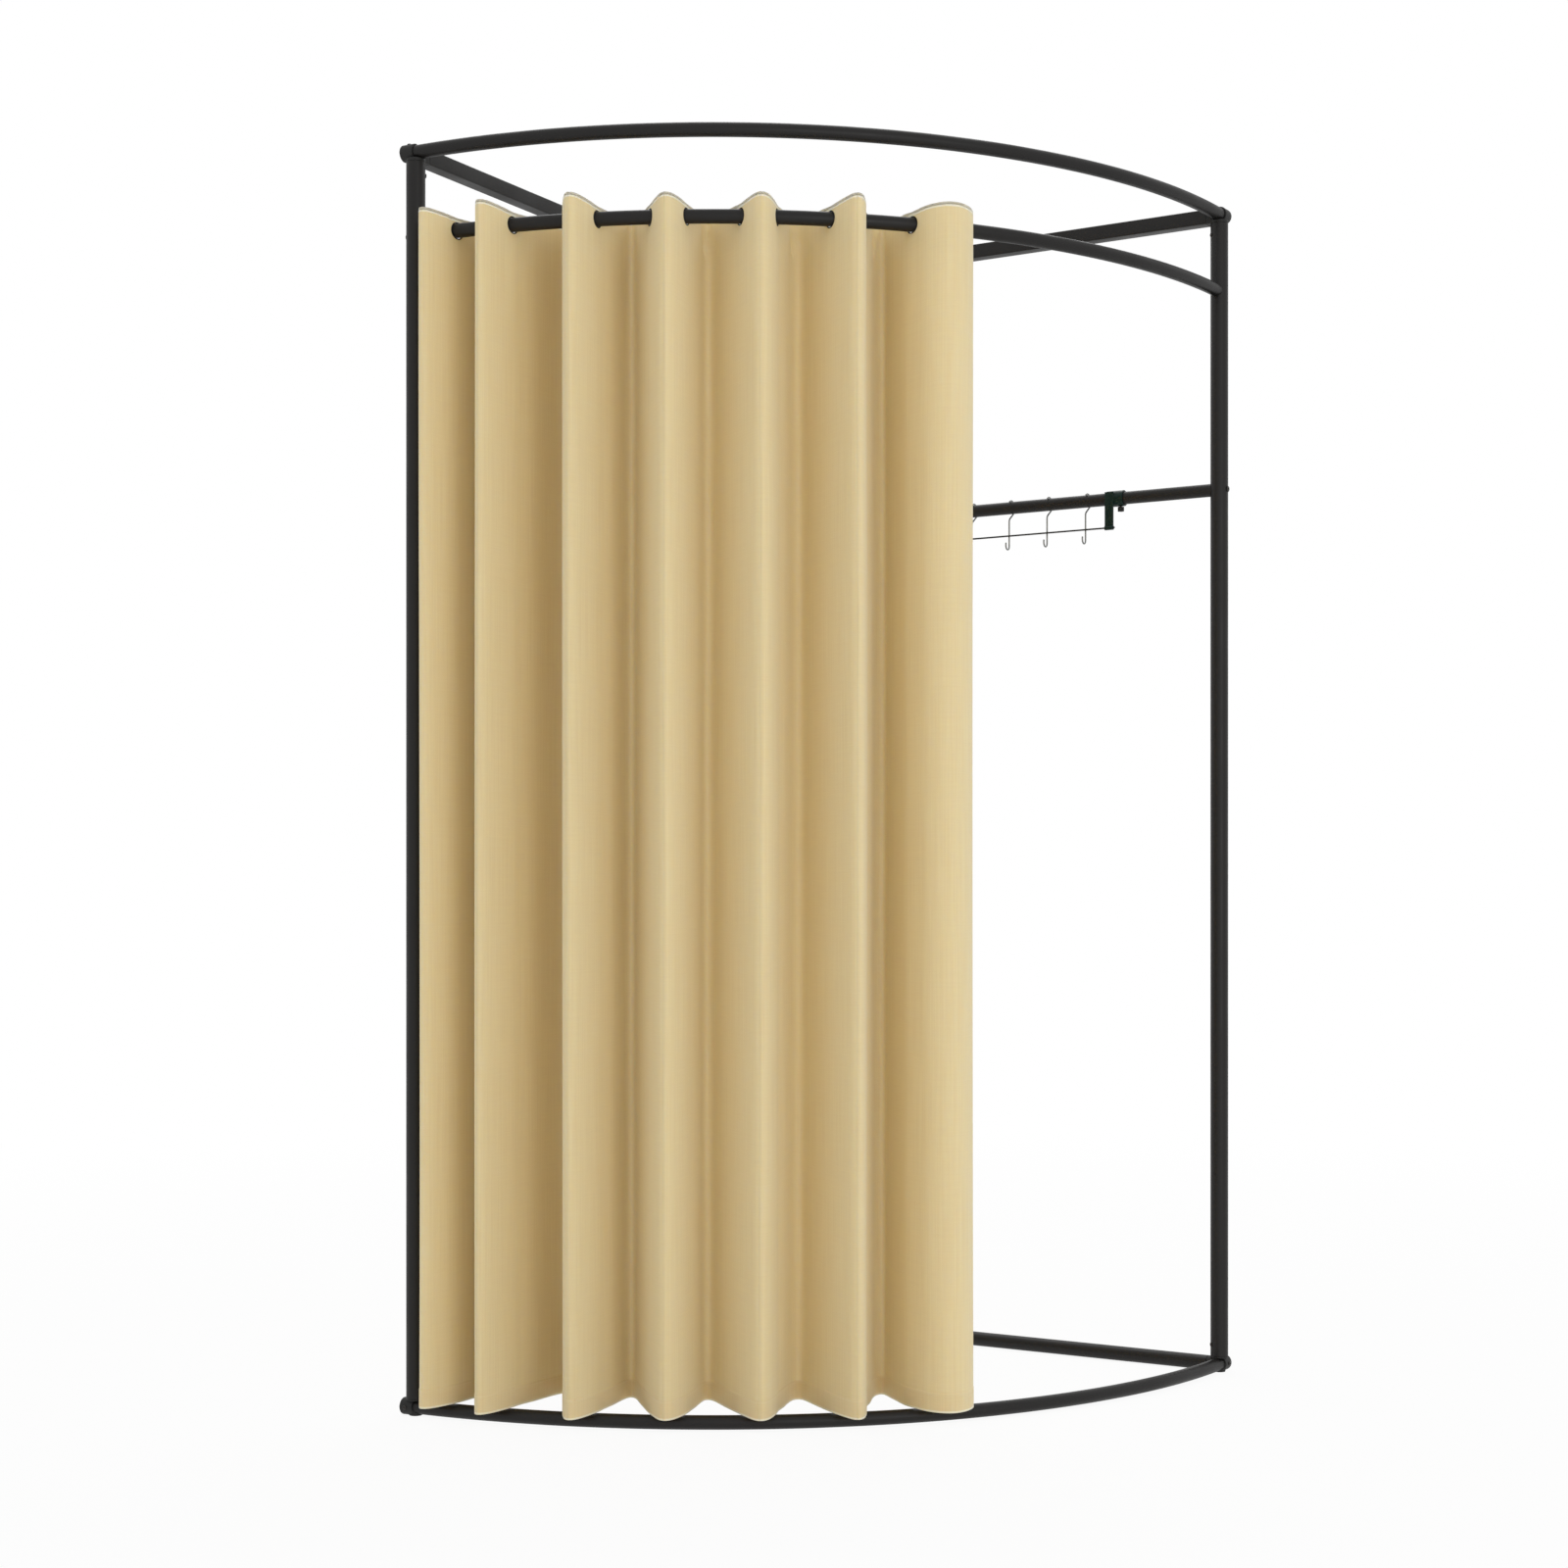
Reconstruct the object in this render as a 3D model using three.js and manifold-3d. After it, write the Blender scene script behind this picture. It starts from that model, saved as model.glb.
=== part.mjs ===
// Quarter-round fitting room: tube frame, eyelet curtain on a bowed rail, and a hook rack.
// Millimetres, +Z up. The bowed front faces -Y and the back corner points to +Y.
import * as THREE from "three";
import { mergeVertices } from "three/addons/utils/BufferGeometryUtils.js";
import Module from "manifold-3d";

const wasm = await Module();
wasm.setup();

// Frame
const overallHeight = 2000;
const wallLength = 970;
const frontBow = 263;
const seatGap = 0.3;
const cutOverrun = 8;
const weldShare = 0.001;

// Tubes
const postRadius = 15;
const postWall = 1.5;
const arcTubeRadius = 11;
const arcTubeWall = 1.2;
const topBarSide = 25;
const topBarCorner = 2.5;
const topBarDrop = 3.5;
const bottomBarRadius = 12.5;
const wallBarWall = 1.5;
const railDrop = 132.5;
const hangingBarDrop = 472.5;

// Corner fittings
const sleeveWall = 2.2;
const sleeveOuterLength = 22.5;
const sleeveInnerLength = 1.5;
const sleeveEndWall = 3;
const sleeveEndRound = 2;
const shoulderReach = 20;
const spigotLength = 45;
const footCentreDrop = 0.5;
const footRadius = 10.5;
const backCrownRound = 3;

// Screws and bolts
const screwShankRadius = 1.8;
const screwHeadRadius = 3.6;
const screwHeadHeight = 1.4;
const screwLength = 7;
const screwAlong = 20;
const screwArcAlong = 12;
const boltShankRadius = 3;
const boltHeadRadius = 5.5;
const boltHeadHeight = 2;
const boltIntoPlug = 14;
const plugLength = 22;
const plugSetback = 1;
const holeClearance = 0.3;
const headSeatShare = 1 / 3;

// Curtain
const curtainRise = 20;
const hemHeight = 26;
const clothThickness = 1.6;
const clothGap = 0.4;
const firstPleatInset = 49.4;
const firstPleatPitch = 94.9;
const pleatPitch = 138.4;
const pleatCount = 7;
const pleatHalfWidth = 28;
const lastPleatHalfWidth = 44;
const pleatDepth = 62;
const valleyDepth = 112;
const holePlay = 2.5;

// Shares of a pleat's half width and of its depth, from the crest to behind the rail
const pleatWidthShares = [0, 0.12, 0.3, 0.5, 0.75, 1, 1.11];
const pleatDepthShares = [1, 0.98, 0.9, 0.72, 0.4, 0, -0.3];
const lastPleatDepthShares = [1, 0.98, 0.92, 0.8, 0.55, 0, -0.3];

// Shares of a valley's half width and of its depth, from its bottom to the pleat beside it
const valleyWidthShares = [0, 0.12, 0.3, 0.5, 0.75];
const valleyDepthShares = [1, 0.98, 0.9, 0.72, 0.43];

// Hook rack on the hanging bar, measured along the bar from the right post's axis
const rackStart = 198;
const rackHookInset = 46;
const hookPitch = 74;
const hookCount = 5;
const rackDrop = 52;
const rackRodRadius = 1.5;
const rackRodEnd = 2.5;
const collarWall = 2.7;
const collarInward = 8;
const collarOutward = 24;
const plateWidth = 16;
const plateThickness = 2.7;
const plateTopShare = 1;
const eyeRadius = 4;
const knobOffset = 17;
const knobRadius = 5.5;
const knobHeight = 8;
const knobGap = 1;
const knobFlutes = 12;
const knobFluteDepth = 0.675;
const knobShankRadius = 2;
const hookWireRadius = 1.4;
const hookCurlRadius = 7;
const hookLength = 70;
const hookTipRise = 5;
const hookBarGap = 0.51;
const hookStartAngle = 50;
const hookEndAngle = 235;
const hookBendShare = 0.8;
const hookTipShare = 2.2;

// Points of a hook under the bar: shares of its stem's place inward, and of its crook's radius
const hookLeadShares = [[0.3, 1.75], [1, 2.5375]];

// Roundness
const tubeSides = 20;
const arcSides = 16;
const arcSteps = 28;
const sleeveSides = 24;
const screwSides = 10;
const boltSides = 12;
const holeSides = 16;
const wireSides = 6;
const hookSteps = 36;
const crookSteps = 7;
const curlSteps = 5;
const cornerSteps = 2;

// Places that follow from the sizes
const halfChord = wallLength * Math.SQRT1_2;
const arcRadius = (halfChord ** 2 + frontBow ** 2) / (frontBow * 2);
const arcCentreY = arcRadius - frontBow;
const postAngle = Math.asin(halfChord / arcRadius);
const sleeveRadius = arcTubeRadius + seatGap + sleeveWall;
const holeRadius = arcTubeRadius + holePlay;
const topArcZ = overallHeight - sleeveRadius;
const bottomArcZ = sleeveRadius - footCentreDrop;
const topBarZ = topArcZ - topBarDrop;
const railHeight = topArcZ - railDrop;
const hangingBarHeight = topArcZ - hangingBarDrop;
const topNeckZ = topBarZ - topBarSide / 2;
const bottomNeckZ = bottomArcZ + sleeveRadius;
const backCrownZ = topBarZ + topBarSide / 2;
const postInnerRadius = postRadius - postWall;
const rackEnd = rackStart + rackHookInset * 2 + hookPitch * (hookCount - 1);
const plateInward = arcTubeRadius + seatGap + plateThickness / 2;

const leftPost = new THREE.Vector2(-halfChord, 0);
const rightPost = new THREE.Vector2(halfChord, 0);
const backPost = new THREE.Vector2(0, halfChord);

const barWay = new THREE.Vector3(-Math.SQRT1_2, Math.SQRT1_2, 0);
const inWay = new THREE.Vector3(-Math.SQRT1_2, -Math.SQRT1_2, 0);

const blackPaint = { color: 0x1c1c1e, roughness: 0.42, metalness: 0.55 };
const blackPlastic = { color: 0x222224, roughness: 0.55, metalness: 0 };
const darkSteel = { color: 0x2b2b2d, roughness: 0.35, metalness: 0.8 };
const wireSteel = { color: 0xa9aaa8, roughness: 0.3, metalness: 0.9 };
const greenPaint = { color: 0x16302b, roughness: 0.45, metalness: 0.4 };
const beigeCloth = { color: 0xcdb98a, roughness: 0.95, metalness: 0 };

// Solids
function toSolid(geometry) {
  const plain = (geometry.index ? geometry.toNonIndexed() : geometry).clone();
  plain.deleteAttribute("normal");
  plain.deleteAttribute("uv");
  const merged = mergeVertices(plain, seatGap * weldShare);
  const mesh = new wasm.Mesh({
    numProp: 3,
    vertProperties: new Float32Array(merged.attributes.position.array),
    triVerts: new Uint32Array(merged.index.array),
  });
  return new wasm.Manifold(mesh);
}

function toGeometry(solid) {
  const mesh = solid.getMesh();
  const geometry = new THREE.BufferGeometry();
  geometry.setAttribute("position", new THREE.BufferAttribute(mesh.vertProperties, 3));
  geometry.setIndex(new THREE.BufferAttribute(mesh.triVerts, 1));
  return geometry;
}

function unite(solids) {
  return solids.reduce((sum, solid) => sum.add(solid));
}

function cut(solid, cutters) {
  return cutters.reduce((left, cutter) => left.subtract(cutter), solid);
}

// A turned form: the profile's heights run along the direction from the start
function turned(profile, start, direction, sides) {
  const points = profile.map(([radius, height]) => new THREE.Vector2(radius, height));
  const geometry = new THREE.LatheGeometry(points, sides);
  const turn = new THREE.Quaternion();
  turn.setFromUnitVectors(new THREE.Vector3(0, 1, 0), direction.clone().normalize());
  geometry.applyQuaternion(turn);
  geometry.translate(start.x, start.y, start.z);
  return toSolid(geometry);
}

function rod(start, end, radius, sides) {
  const run = end.clone().sub(start);
  const length = run.length();
  const profile = [[0, 0], [radius, 0], [radius, length], [0, length]];
  return turned(profile, start, run, sides);
}

function pipe(start, end, radius, wall, sides) {
  const run = end.clone().sub(start);
  const length = run.length();
  const inner = radius - wall;
  const profile = [[inner, 0], [radius, 0], [radius, length], [inner, length], [inner, 0]];
  return turned(profile, start, run, sides);
}

// A block from one point to another, square to the upright
function beam(start, end, width, height) {
  const run = end.clone().sub(start);
  const geometry = new THREE.BoxGeometry(run.length(), width, height);
  geometry.rotateZ(Math.atan2(run.y, run.x));
  const middle = start.clone().add(end).multiplyScalar(0.5);
  geometry.translate(middle.x, middle.y, middle.z);
  return toSolid(geometry);
}

function circleShape(radius) {
  const shape = new THREE.Shape();
  shape.absarc(0, 0, radius, 0, Math.PI * 2, false);
  return shape;
}

function squareShape(side, corner) {
  const half = side / 2;
  const flat = half - corner;
  const shape = new THREE.Shape();
  shape.moveTo(-flat, -half);
  shape.lineTo(flat, -half);
  shape.absarc(flat, -flat, corner, -Math.PI / 2, 0, false);
  shape.lineTo(half, flat);
  shape.absarc(flat, flat, corner, 0, Math.PI / 2, false);
  shape.lineTo(-flat, half);
  shape.absarc(-flat, flat, corner, Math.PI / 2, Math.PI, false);
  shape.lineTo(-half, -flat);
  shape.absarc(-flat, -flat, corner, Math.PI, Math.PI * 1.5, false);
  return shape;
}

// Points and directions in plan
function at(point, z) {
  return new THREE.Vector3(point.x, point.y, z);
}

function arcPoint(angle, outward, z) {
  const radius = arcRadius + outward;
  return new THREE.Vector3(radius * Math.sin(angle), arcCentreY - radius * Math.cos(angle), z);
}

function arcTangent(angle) {
  return new THREE.Vector3(Math.cos(angle), Math.sin(angle), 0);
}

function along(point, direction, distance) {
  return point.clone().addScaledVector(direction, distance);
}

function wallWay(from, to) {
  return new THREE.Vector3(to.x - from.x, to.y - from.y, 0).normalize();
}

class BowedLine extends THREE.Curve {
  constructor(z, fromAngle, toAngle) {
    super();
    this.z = z;
    this.fromAngle = fromAngle;
    this.toAngle = toAngle;
  }

  getPoint(share) {
    return arcPoint(THREE.MathUtils.lerp(this.fromAngle, this.toAngle, share), 0, this.z);
  }
}

function bowedTube(z, fromAngle, toAngle, radius, wall, steps) {
  const shape = circleShape(radius);
  if (wall > 0) {
    const bore = new THREE.Path();
    bore.absarc(0, 0, radius - wall, 0, Math.PI * 2, true);
    shape.holes.push(bore);
  }
  const options = {
    steps,
    curveSegments: arcSides / 2,
    extrudePath: new BowedLine(z, fromAngle, toAngle),
  };
  return toSolid(new THREE.ExtrudeGeometry(shape, options));
}

// Screws: each has a seat on the surface that it goes into, and the way that it goes
function screwAt(seat, way) {
  const tip = along(seat, way, screwLength);
  const under = along(seat, way, -seatGap);
  const top = along(under, way, -screwHeadHeight);
  const shank = rod(under, tip, screwShankRadius, screwSides);
  return unite([shank, rod(top, along(under, way, seatGap * headSeatShare), screwHeadRadius, screwSides)]);
}

function screwHoleAt(seat, way) {
  const start = along(seat, way, -screwHeadHeight);
  const end = along(seat, way, screwLength + seatGap);
  return rod(start, end, screwShankRadius + holeClearance, screwSides);
}

function postScrew(name, plan, inward, atTop) {
  const z = atTop ? topNeckZ - screwAlong : bottomNeckZ + screwAlong;
  const seat = along(at(plan, z), inward, postRadius);
  return { name: `${name}_post_screw`, seat, way: inward.clone().negate() };
}

// The top ones go in from above, and the bottom ones from the front
function bowScrew(name, plan, end, atTop) {
  const outward = arcTangent(end * postAngle).multiplyScalar(end);
  const middle = along(at(plan, atTop ? topArcZ : bottomArcZ), outward, screwArcAlong);
  const frontWay = new THREE.Vector3(Math.sin(end * postAngle), -Math.cos(end * postAngle), 0);
  const from = atTop ? new THREE.Vector3(0, 0, 1) : frontWay;
  return { name: `${name}_bow_screw`, seat: along(middle, from, sleeveRadius), way: from.clone().negate() };
}

function levelScrews(level, atTop) {
  return [
    postScrew(`${level}_left`, leftPost, new THREE.Vector3(1, 0, 0), atTop),
    postScrew(`${level}_right`, rightPost, new THREE.Vector3(-1, 0, 0), atTop),
    postScrew(`${level}_back`, backPost, new THREE.Vector3(0, -1, 0), atTop),
    bowScrew(`${level}_left`, leftPost, -1, atTop),
    bowScrew(`${level}_right`, rightPost, 1, atTop),
  ];
}

// Corner fittings
function wallArm(post, way, atTop) {
  const z = atTop ? topBarZ : bottomArcZ;
  const root = at(post, z);
  const shoulder = along(root, way, shoulderReach);
  const tip = along(shoulder, way, spigotLength);
  if (atTop) {
    const spigotSide = topBarSide - (wallBarWall + seatGap * 2) * 2;
    return unite([
      beam(root, shoulder, topBarSide, topBarSide),
      beam(root, tip, spigotSide, spigotSide),
    ]);
  }
  const spigotRadius = bottomBarRadius - wallBarWall - seatGap;
  return unite([
    rod(root, shoulder, bottomBarRadius, tubeSides),
    rod(root, tip, spigotRadius, tubeSides),
  ]);
}

function sleeve(post, end, z) {
  const outward = arcTangent(end * postAngle).multiplyScalar(end);
  const flat = sleeveRadius - sleeveEndRound;
  const last = sleeveOuterLength + sleeveInnerLength;
  const profile = [
    [0, 0],
    [sleeveRadius, 0],
    [sleeveRadius, last - sleeveEndRound],
    [flat + sleeveEndRound * Math.SQRT1_2, last - sleeveEndRound * (1 - Math.SQRT1_2)],
    [flat, last],
    [0, last],
  ];
  return turned(profile, along(at(post, z), outward, -sleeveInnerLength), outward, sleeveSides);
}

// The bow's path through its fittings, a little wider and longer than the bow
function bowClearance(z) {
  const reach = postAngle + (sleeveOuterLength - sleeveEndWall) / arcRadius;
  return bowedTube(z, -reach, reach, arcTubeRadius + seatGap, 0, arcSteps);
}

function postSpigot(post, fromZ, way) {
  const radius = postInnerRadius - seatGap;
  return rod(at(post, fromZ), at(post, fromZ + way * spigotLength), radius, tubeSides);
}

// The post's neck ends beside the bow, which runs past it; a foot under the bow stands on the floor
function frontFitting(post, end, atTop) {
  const z = atTop ? topArcZ : bottomArcZ;
  const neckZ = atTop ? topNeckZ : bottomNeckZ;
  const neckEndZ = atTop ? topArcZ - arcTubeRadius : bottomArcZ + arcTubeRadius;
  const foot = atTop ? [] : [rod(at(post, z), at(post, 0), footRadius, tubeSides)];
  const solid = unite([
    sleeve(post, end, z),
    rod(at(post, neckZ), at(post, neckEndZ), postRadius, tubeSides),
    postSpigot(post, neckZ, atTop ? -1 : 1),
    wallArm(post, wallWay(post, backPost), atTop),
    ...foot,
  ]);
  return cut(solid, [bowClearance(z)]).trimByPlane([0, 0, 1], 0);
}

function backFitting(atTop) {
  const arms = [leftPost, rightPost].map((post) => wallArm(backPost, wallWay(backPost, post), atTop));
  const neckZ = atTop ? topNeckZ : bottomNeckZ;
  if (!atTop) {
    const neck = rod(at(backPost, 0), at(backPost, neckZ), postRadius, tubeSides);
    return unite([neck, postSpigot(backPost, neckZ, 1), ...arms]);
  }
  const height = backCrownZ - topNeckZ;
  const profile = [
    [0, 0],
    [postRadius, 0],
    [postRadius, height - backCrownRound],
    [postRadius - backCrownRound * (1 - Math.SQRT1_2), height - backCrownRound * (1 - Math.SQRT1_2)],
    [postRadius - backCrownRound, height],
    [0, height],
  ];
  const crown = turned(profile, at(backPost, topNeckZ), new THREE.Vector3(0, 0, 1), tubeSides);
  return unite([crown, postSpigot(backPost, neckZ, -1), ...arms]);
}

// Straight tubes of the frame
function post(plan, topZ) {
  const start = at(plan, bottomNeckZ + seatGap);
  return pipe(start, at(plan, topZ - seatGap), postRadius, postWall, tubeSides);
}

function barEnds(from, to, z) {
  const way = wallWay(from, to);
  const inset = shoulderReach + seatGap;
  return [along(at(from, z), way, inset), along(at(to, z), way, -inset)];
}

function topBar(from, to) {
  const [start, end] = barEnds(from, to, topBarZ);
  const shape = squareShape(topBarSide, topBarCorner);
  const inner = squareShape(topBarSide - wallBarWall * 2, topBarCorner / 2);
  shape.holes.push(new THREE.Path(inner.getPoints(cornerSteps).reverse()));
  const length = end.distanceTo(start);
  const options = { depth: length, bevelEnabled: false, curveSegments: cornerSteps };
  const geometry = new THREE.ExtrudeGeometry(shape, options);
  geometry.rotateX(Math.PI / 2);
  geometry.rotateZ(Math.PI / 2);
  geometry.rotateZ(Math.atan2(end.y - start.y, end.x - start.x));
  geometry.translate(start.x, start.y, start.z);
  return toSolid(geometry);
}

function bottomBar(from, to) {
  const [start, end] = barEnds(from, to, bottomArcZ);
  return pipe(start, end, bottomBarRadius, wallBarWall, tubeSides);
}

function postCutter(plan, z) {
  const reach = arcTubeRadius + cutOverrun;
  return rod(at(plan, z - reach), at(plan, z + reach), postRadius + seatGap, tubeSides * 2);
}

function hangingBar() {
  const start = at(rightPost, hangingBarHeight);
  const end = at(backPost, hangingBarHeight);
  const whole = pipe(start, end, arcTubeRadius, arcTubeWall, tubeSides);
  return cut(whole, [postCutter(rightPost, hangingBarHeight), postCutter(backPost, hangingBarHeight)]);
}

function curtainRail() {
  const whole = bowedTube(railHeight, -postAngle, postAngle, arcTubeRadius, arcTubeWall, arcSteps);
  return cut(whole, [postCutter(leftPost, railHeight), postCutter(rightPost, railHeight)]);
}

function bow(z) {
  const reach = postAngle + (sleeveOuterLength - sleeveEndWall - seatGap * 2) / arcRadius;
  return bowedTube(z, -reach, reach, arcTubeRadius, arcTubeWall, arcSteps);
}

// Bolts through a post into the plug at a bar's end
function boltWays() {
  const railWay = (end) => arcTangent(end * postAngle).multiplyScalar(-end);
  return [
    { name: "left_rail", axis: at(leftPost, railHeight), way: railWay(-1), bowed: true },
    { name: "right_rail", axis: at(rightPost, railHeight), way: railWay(1), bowed: true },
    { name: "front_hanging_bar", axis: at(rightPost, hangingBarHeight), way: barWay },
    { name: "rear_hanging_bar", axis: at(backPost, hangingBarHeight), way: barWay.clone().negate() },
  ];
}

function plugSpan({ axis, way }) {
  const start = along(axis, way, postRadius + seatGap + plugSetback);
  return [start, along(start, way, plugLength)];
}

// The room inside the tube that a plug is pressed into
function tubeRoom(bolt) {
  const radius = arcTubeRadius - arcTubeWall - seatGap;
  if (bolt.bowed) {
    return bowedTube(railHeight, -postAngle, postAngle, radius, 0, arcSteps);
  }
  return rod(at(rightPost, hangingBarHeight), at(backPost, hangingBarHeight), radius, tubeSides);
}

function endPlug(bolt) {
  const [start, end] = plugSpan(bolt);
  const bore = rod(along(start, bolt.way, -plugSetback), along(end, bolt.way, plugSetback),
    boltShankRadius + holeClearance, boltSides);
  return cut(rod(start, end, arcTubeRadius, tubeSides).intersect(tubeRoom(bolt)), [bore]);
}

function boltThrough({ axis, way }) {
  const under = along(axis, way, -postRadius - seatGap);
  const top = along(under, way, -boltHeadHeight);
  const tip = along(axis, way, postRadius + plugSetback + boltIntoPlug);
  const head = rod(top, along(under, way, seatGap * headSeatShare), boltHeadRadius, boltSides);
  return unite([rod(under, tip, boltShankRadius, boltSides), head]);
}

function boltHole({ axis, way }) {
  const reach = postRadius + cutOverrun;
  const radius = boltShankRadius + holeClearance;
  return rod(along(axis, way, -reach), along(axis, way, reach), radius, boltSides);
}

// Hanging cloth: a ribbon along a line of [angle, outward] pairs, from the hem to the top
function clothRibbon(line) {
  const points = line.map(([angle, outward]) => {
    const spot = arcPoint(angle, outward, 0);
    return new THREE.Vector2(spot.x, spot.y);
  });
  const half = clothThickness / 2;
  const normals = points.map((point, i) => {
    const before = points[Math.max(i - 1, 0)];
    const after = points[Math.min(i + 1, points.length - 1)];
    const run = after.clone().sub(before).normalize();
    return new THREE.Vector2(-run.y, run.x);
  });
  const inner = points.map((point, i) => point.clone().addScaledVector(normals[i], half));
  const outer = points.map((point, i) => point.clone().addScaledVector(normals[i], -half));
  const shape = new THREE.Shape([...outer, ...inner.reverse()]);
  const height = railHeight + curtainRise - hemHeight;
  const geometry = new THREE.ExtrudeGeometry(shape, { depth: height, bevelEnabled: false });
  geometry.translate(0, 0, hemHeight);
  return toSolid(geometry);
}

function mirrored(half) {
  const left = half.map(([angle, outward]) => [-angle, outward]).reverse();
  return [...left.slice(0, -1), ...half];
}

function pleatHalf(index) {
  return index === pleatCount - 1 ? lastPleatHalfWidth : pleatHalfWidth;
}

// Crests are set out along the rail from the left post's axis
function pleatAngle(index) {
  const widening = pleatHalf(index) - pleatHalfWidth;
  const pitches = index === 0 ? 0 : firstPleatPitch + pleatPitch * (index - 1);
  return (firstPleatInset + pitches + widening / 2) / arcRadius - postAngle;
}

function pleatLine(index) {
  const width = pleatHalf(index) / arcRadius;
  const depthShares = index === pleatCount - 1 ? lastPleatDepthShares : pleatDepthShares;
  const half = pleatWidthShares.map((share, i) => [share * width, depthShares[i] * pleatDepth]);
  return mirrored(half).map(([angle, outward]) => [pleatAngle(index) + angle, outward]);
}

// The rail's two holes in a pleat, one in each flank, which hang on the rail's top
function pleatHoles(index) {
  const hang = holeRadius * Math.cos(Math.PI / holeSides) - arcTubeRadius - seatGap;
  return [-1, 1].map((side) => {
    const angle = pleatAngle(index) + side * pleatHalf(index) / arcRadius;
    const middle = arcPoint(angle, 0, railHeight - hang);
    const tangent = arcTangent(angle);
    const start = along(middle, tangent, -cutOverrun);
    return rod(start, along(middle, tangent, cutOverrun), holeRadius, holeSides);
  });
}

function pleat(index) {
  return cut(clothRibbon(pleatLine(index)), pleatHoles(index));
}

function valley(index) {
  const before = pleatLine(index);
  const [startAngle, startDepth] = before[before.length - 1];
  const [endAngle] = pleatLine(index + 1)[0];
  const middle = (startAngle + endAngle) / 2;
  const width = (endAngle - startAngle) / 2;
  const rows = valleyWidthShares.map((share, i) => [share * width, -valleyDepthShares[i] * valleyDepth]);
  const half = [...rows, [width, startDepth - clothGap]];
  return clothRibbon(mirrored(half).map(([angle, outward]) => [middle + angle, outward]));
}

// Places on the right wall: along the bar from the right post, inward to the cabin, and up
function onBar(distance, inward, rise) {
  return along(along(at(rightPost, hangingBarHeight + rise), barWay, distance), inWay, inward);
}

function rackBracket(distance, outwardSign) {
  const bore = arcTubeRadius + seatGap;
  const near = distance - collarInward * outwardSign;
  const far = distance + collarOutward * outwardSign;
  const collar = rod(onBar(near, 0, 0), onBar(far, 0, 0), bore + collarWall, sleeveSides);
  const plateHeight = rackDrop + arcTubeRadius * plateTopShare;
  const plateRise = arcTubeRadius * plateTopShare - plateHeight / 2;
  const plateStart = onBar(distance - plateWidth / 2, plateInward, plateRise);
  const plateEnd = onBar(distance + plateWidth / 2, plateInward, plateRise);
  const eyeStart = onBar(distance - plateWidth / 2, plateInward, -rackDrop);
  const eyeEnd = onBar(distance + plateWidth / 2, plateInward, -rackDrop);
  const solid = unite([
    collar,
    beam(plateStart, plateEnd, plateThickness, plateHeight),
    rod(eyeStart, eyeEnd, eyeRadius, boltSides),
  ]);
  const knobPlace = distance + knobOffset * outwardSign;
  const overrun = cutOverrun * outwardSign;
  const eyeReach = plateWidth / 2 + cutOverrun;
  return cut(solid, [
    rod(onBar(near - overrun, 0, 0), onBar(far + overrun, 0, 0), bore, sleeveSides),
    rod(onBar(distance - eyeReach, plateInward, -rackDrop),
      onBar(distance + eyeReach, plateInward, -rackDrop), rackRodRadius + seatGap, boltSides),
    rod(onBar(knobPlace, 0, 0), onBar(knobPlace, 0, -bore - collarWall - cutOverrun),
      knobShankRadius + holeClearance, boltSides),
  ]);
}

function rackRod() {
  const reach = plateWidth / 2 + rackRodEnd;
  const start = onBar(rackStart - reach, plateInward, -rackDrop);
  return rod(start, onBar(rackEnd + reach, plateInward, -rackDrop), rackRodRadius, boltSides);
}

function thumbScrew(distance, outwardSign) {
  const place = distance + knobOffset * outwardSign;
  const collarFoot = arcTubeRadius + seatGap + collarWall;
  const knobTop = -collarFoot - knobGap;
  const knobShape = new THREE.Shape();
  for (let i = 0; i < knobFlutes * 2; i += 1) {
    const angle = (Math.PI * i) / knobFlutes;
    const radius = i % 2 === 0 ? knobRadius : knobRadius - knobFluteDepth;
    const spot = [radius * Math.cos(angle), radius * Math.sin(angle)];
    knobShape[i === 0 ? "moveTo" : "lineTo"](...spot);
  }
  const knob = new THREE.ExtrudeGeometry(knobShape, { depth: knobHeight, bevelEnabled: false });
  const foot = onBar(place, 0, knobTop - knobHeight);
  knob.translate(foot.x, foot.y, foot.z);
  const tip = onBar(place, 0, -arcTubeRadius - seatGap);
  const root = onBar(place, 0, knobTop - knobHeight / 2);
  return unite([toSolid(knob), rod(root, tip, knobShankRadius, boltSides)]);
}

// A wire hook: over the bar from the room side, down behind the rack's rod, then a curl
function hookPath(distance) {
  const crook = arcTubeRadius + hookWireRadius + hookBarGap;
  const spots = [];
  for (let i = 0; i <= crookSteps; i += 1) {
    const turn = THREE.MathUtils.lerp(hookStartAngle, hookEndAngle, i / crookSteps);
    const angle = THREE.MathUtils.degToRad(turn);
    spots.push([crook * Math.cos(angle), crook * Math.sin(angle)]);
  }
  const stem = plateInward - rackRodRadius - hookWireRadius - seatGap;
  hookLeadShares.forEach(([inward, drop]) => spots.push([stem * inward, -crook * drop]));
  spots.push([stem, -hookLength * hookBendShare]);
  spots.push([stem, -hookLength]);
  for (let i = 1; i <= curlSteps; i += 1) {
    const angle = Math.PI * (1 + i / curlSteps);
    const inward = stem + hookCurlRadius + hookCurlRadius * Math.cos(angle);
    spots.push([inward, -hookLength + hookCurlRadius * Math.sin(angle)]);
  }
  spots.push([stem + hookCurlRadius * hookTipShare, -hookLength + hookTipRise]);
  return spots.map(([inward, rise]) => onBar(distance, inward, rise));
}

function hook(distance) {
  const path = new THREE.CatmullRomCurve3(hookPath(distance), false, "centripetal");
  const options = { steps: hookSteps, curveSegments: wireSides / 2, extrudePath: path };
  return toSolid(new THREE.ExtrudeGeometry(circleShape(hookWireRadius), options));
}

// The assembly
const group = new THREE.Group();

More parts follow.
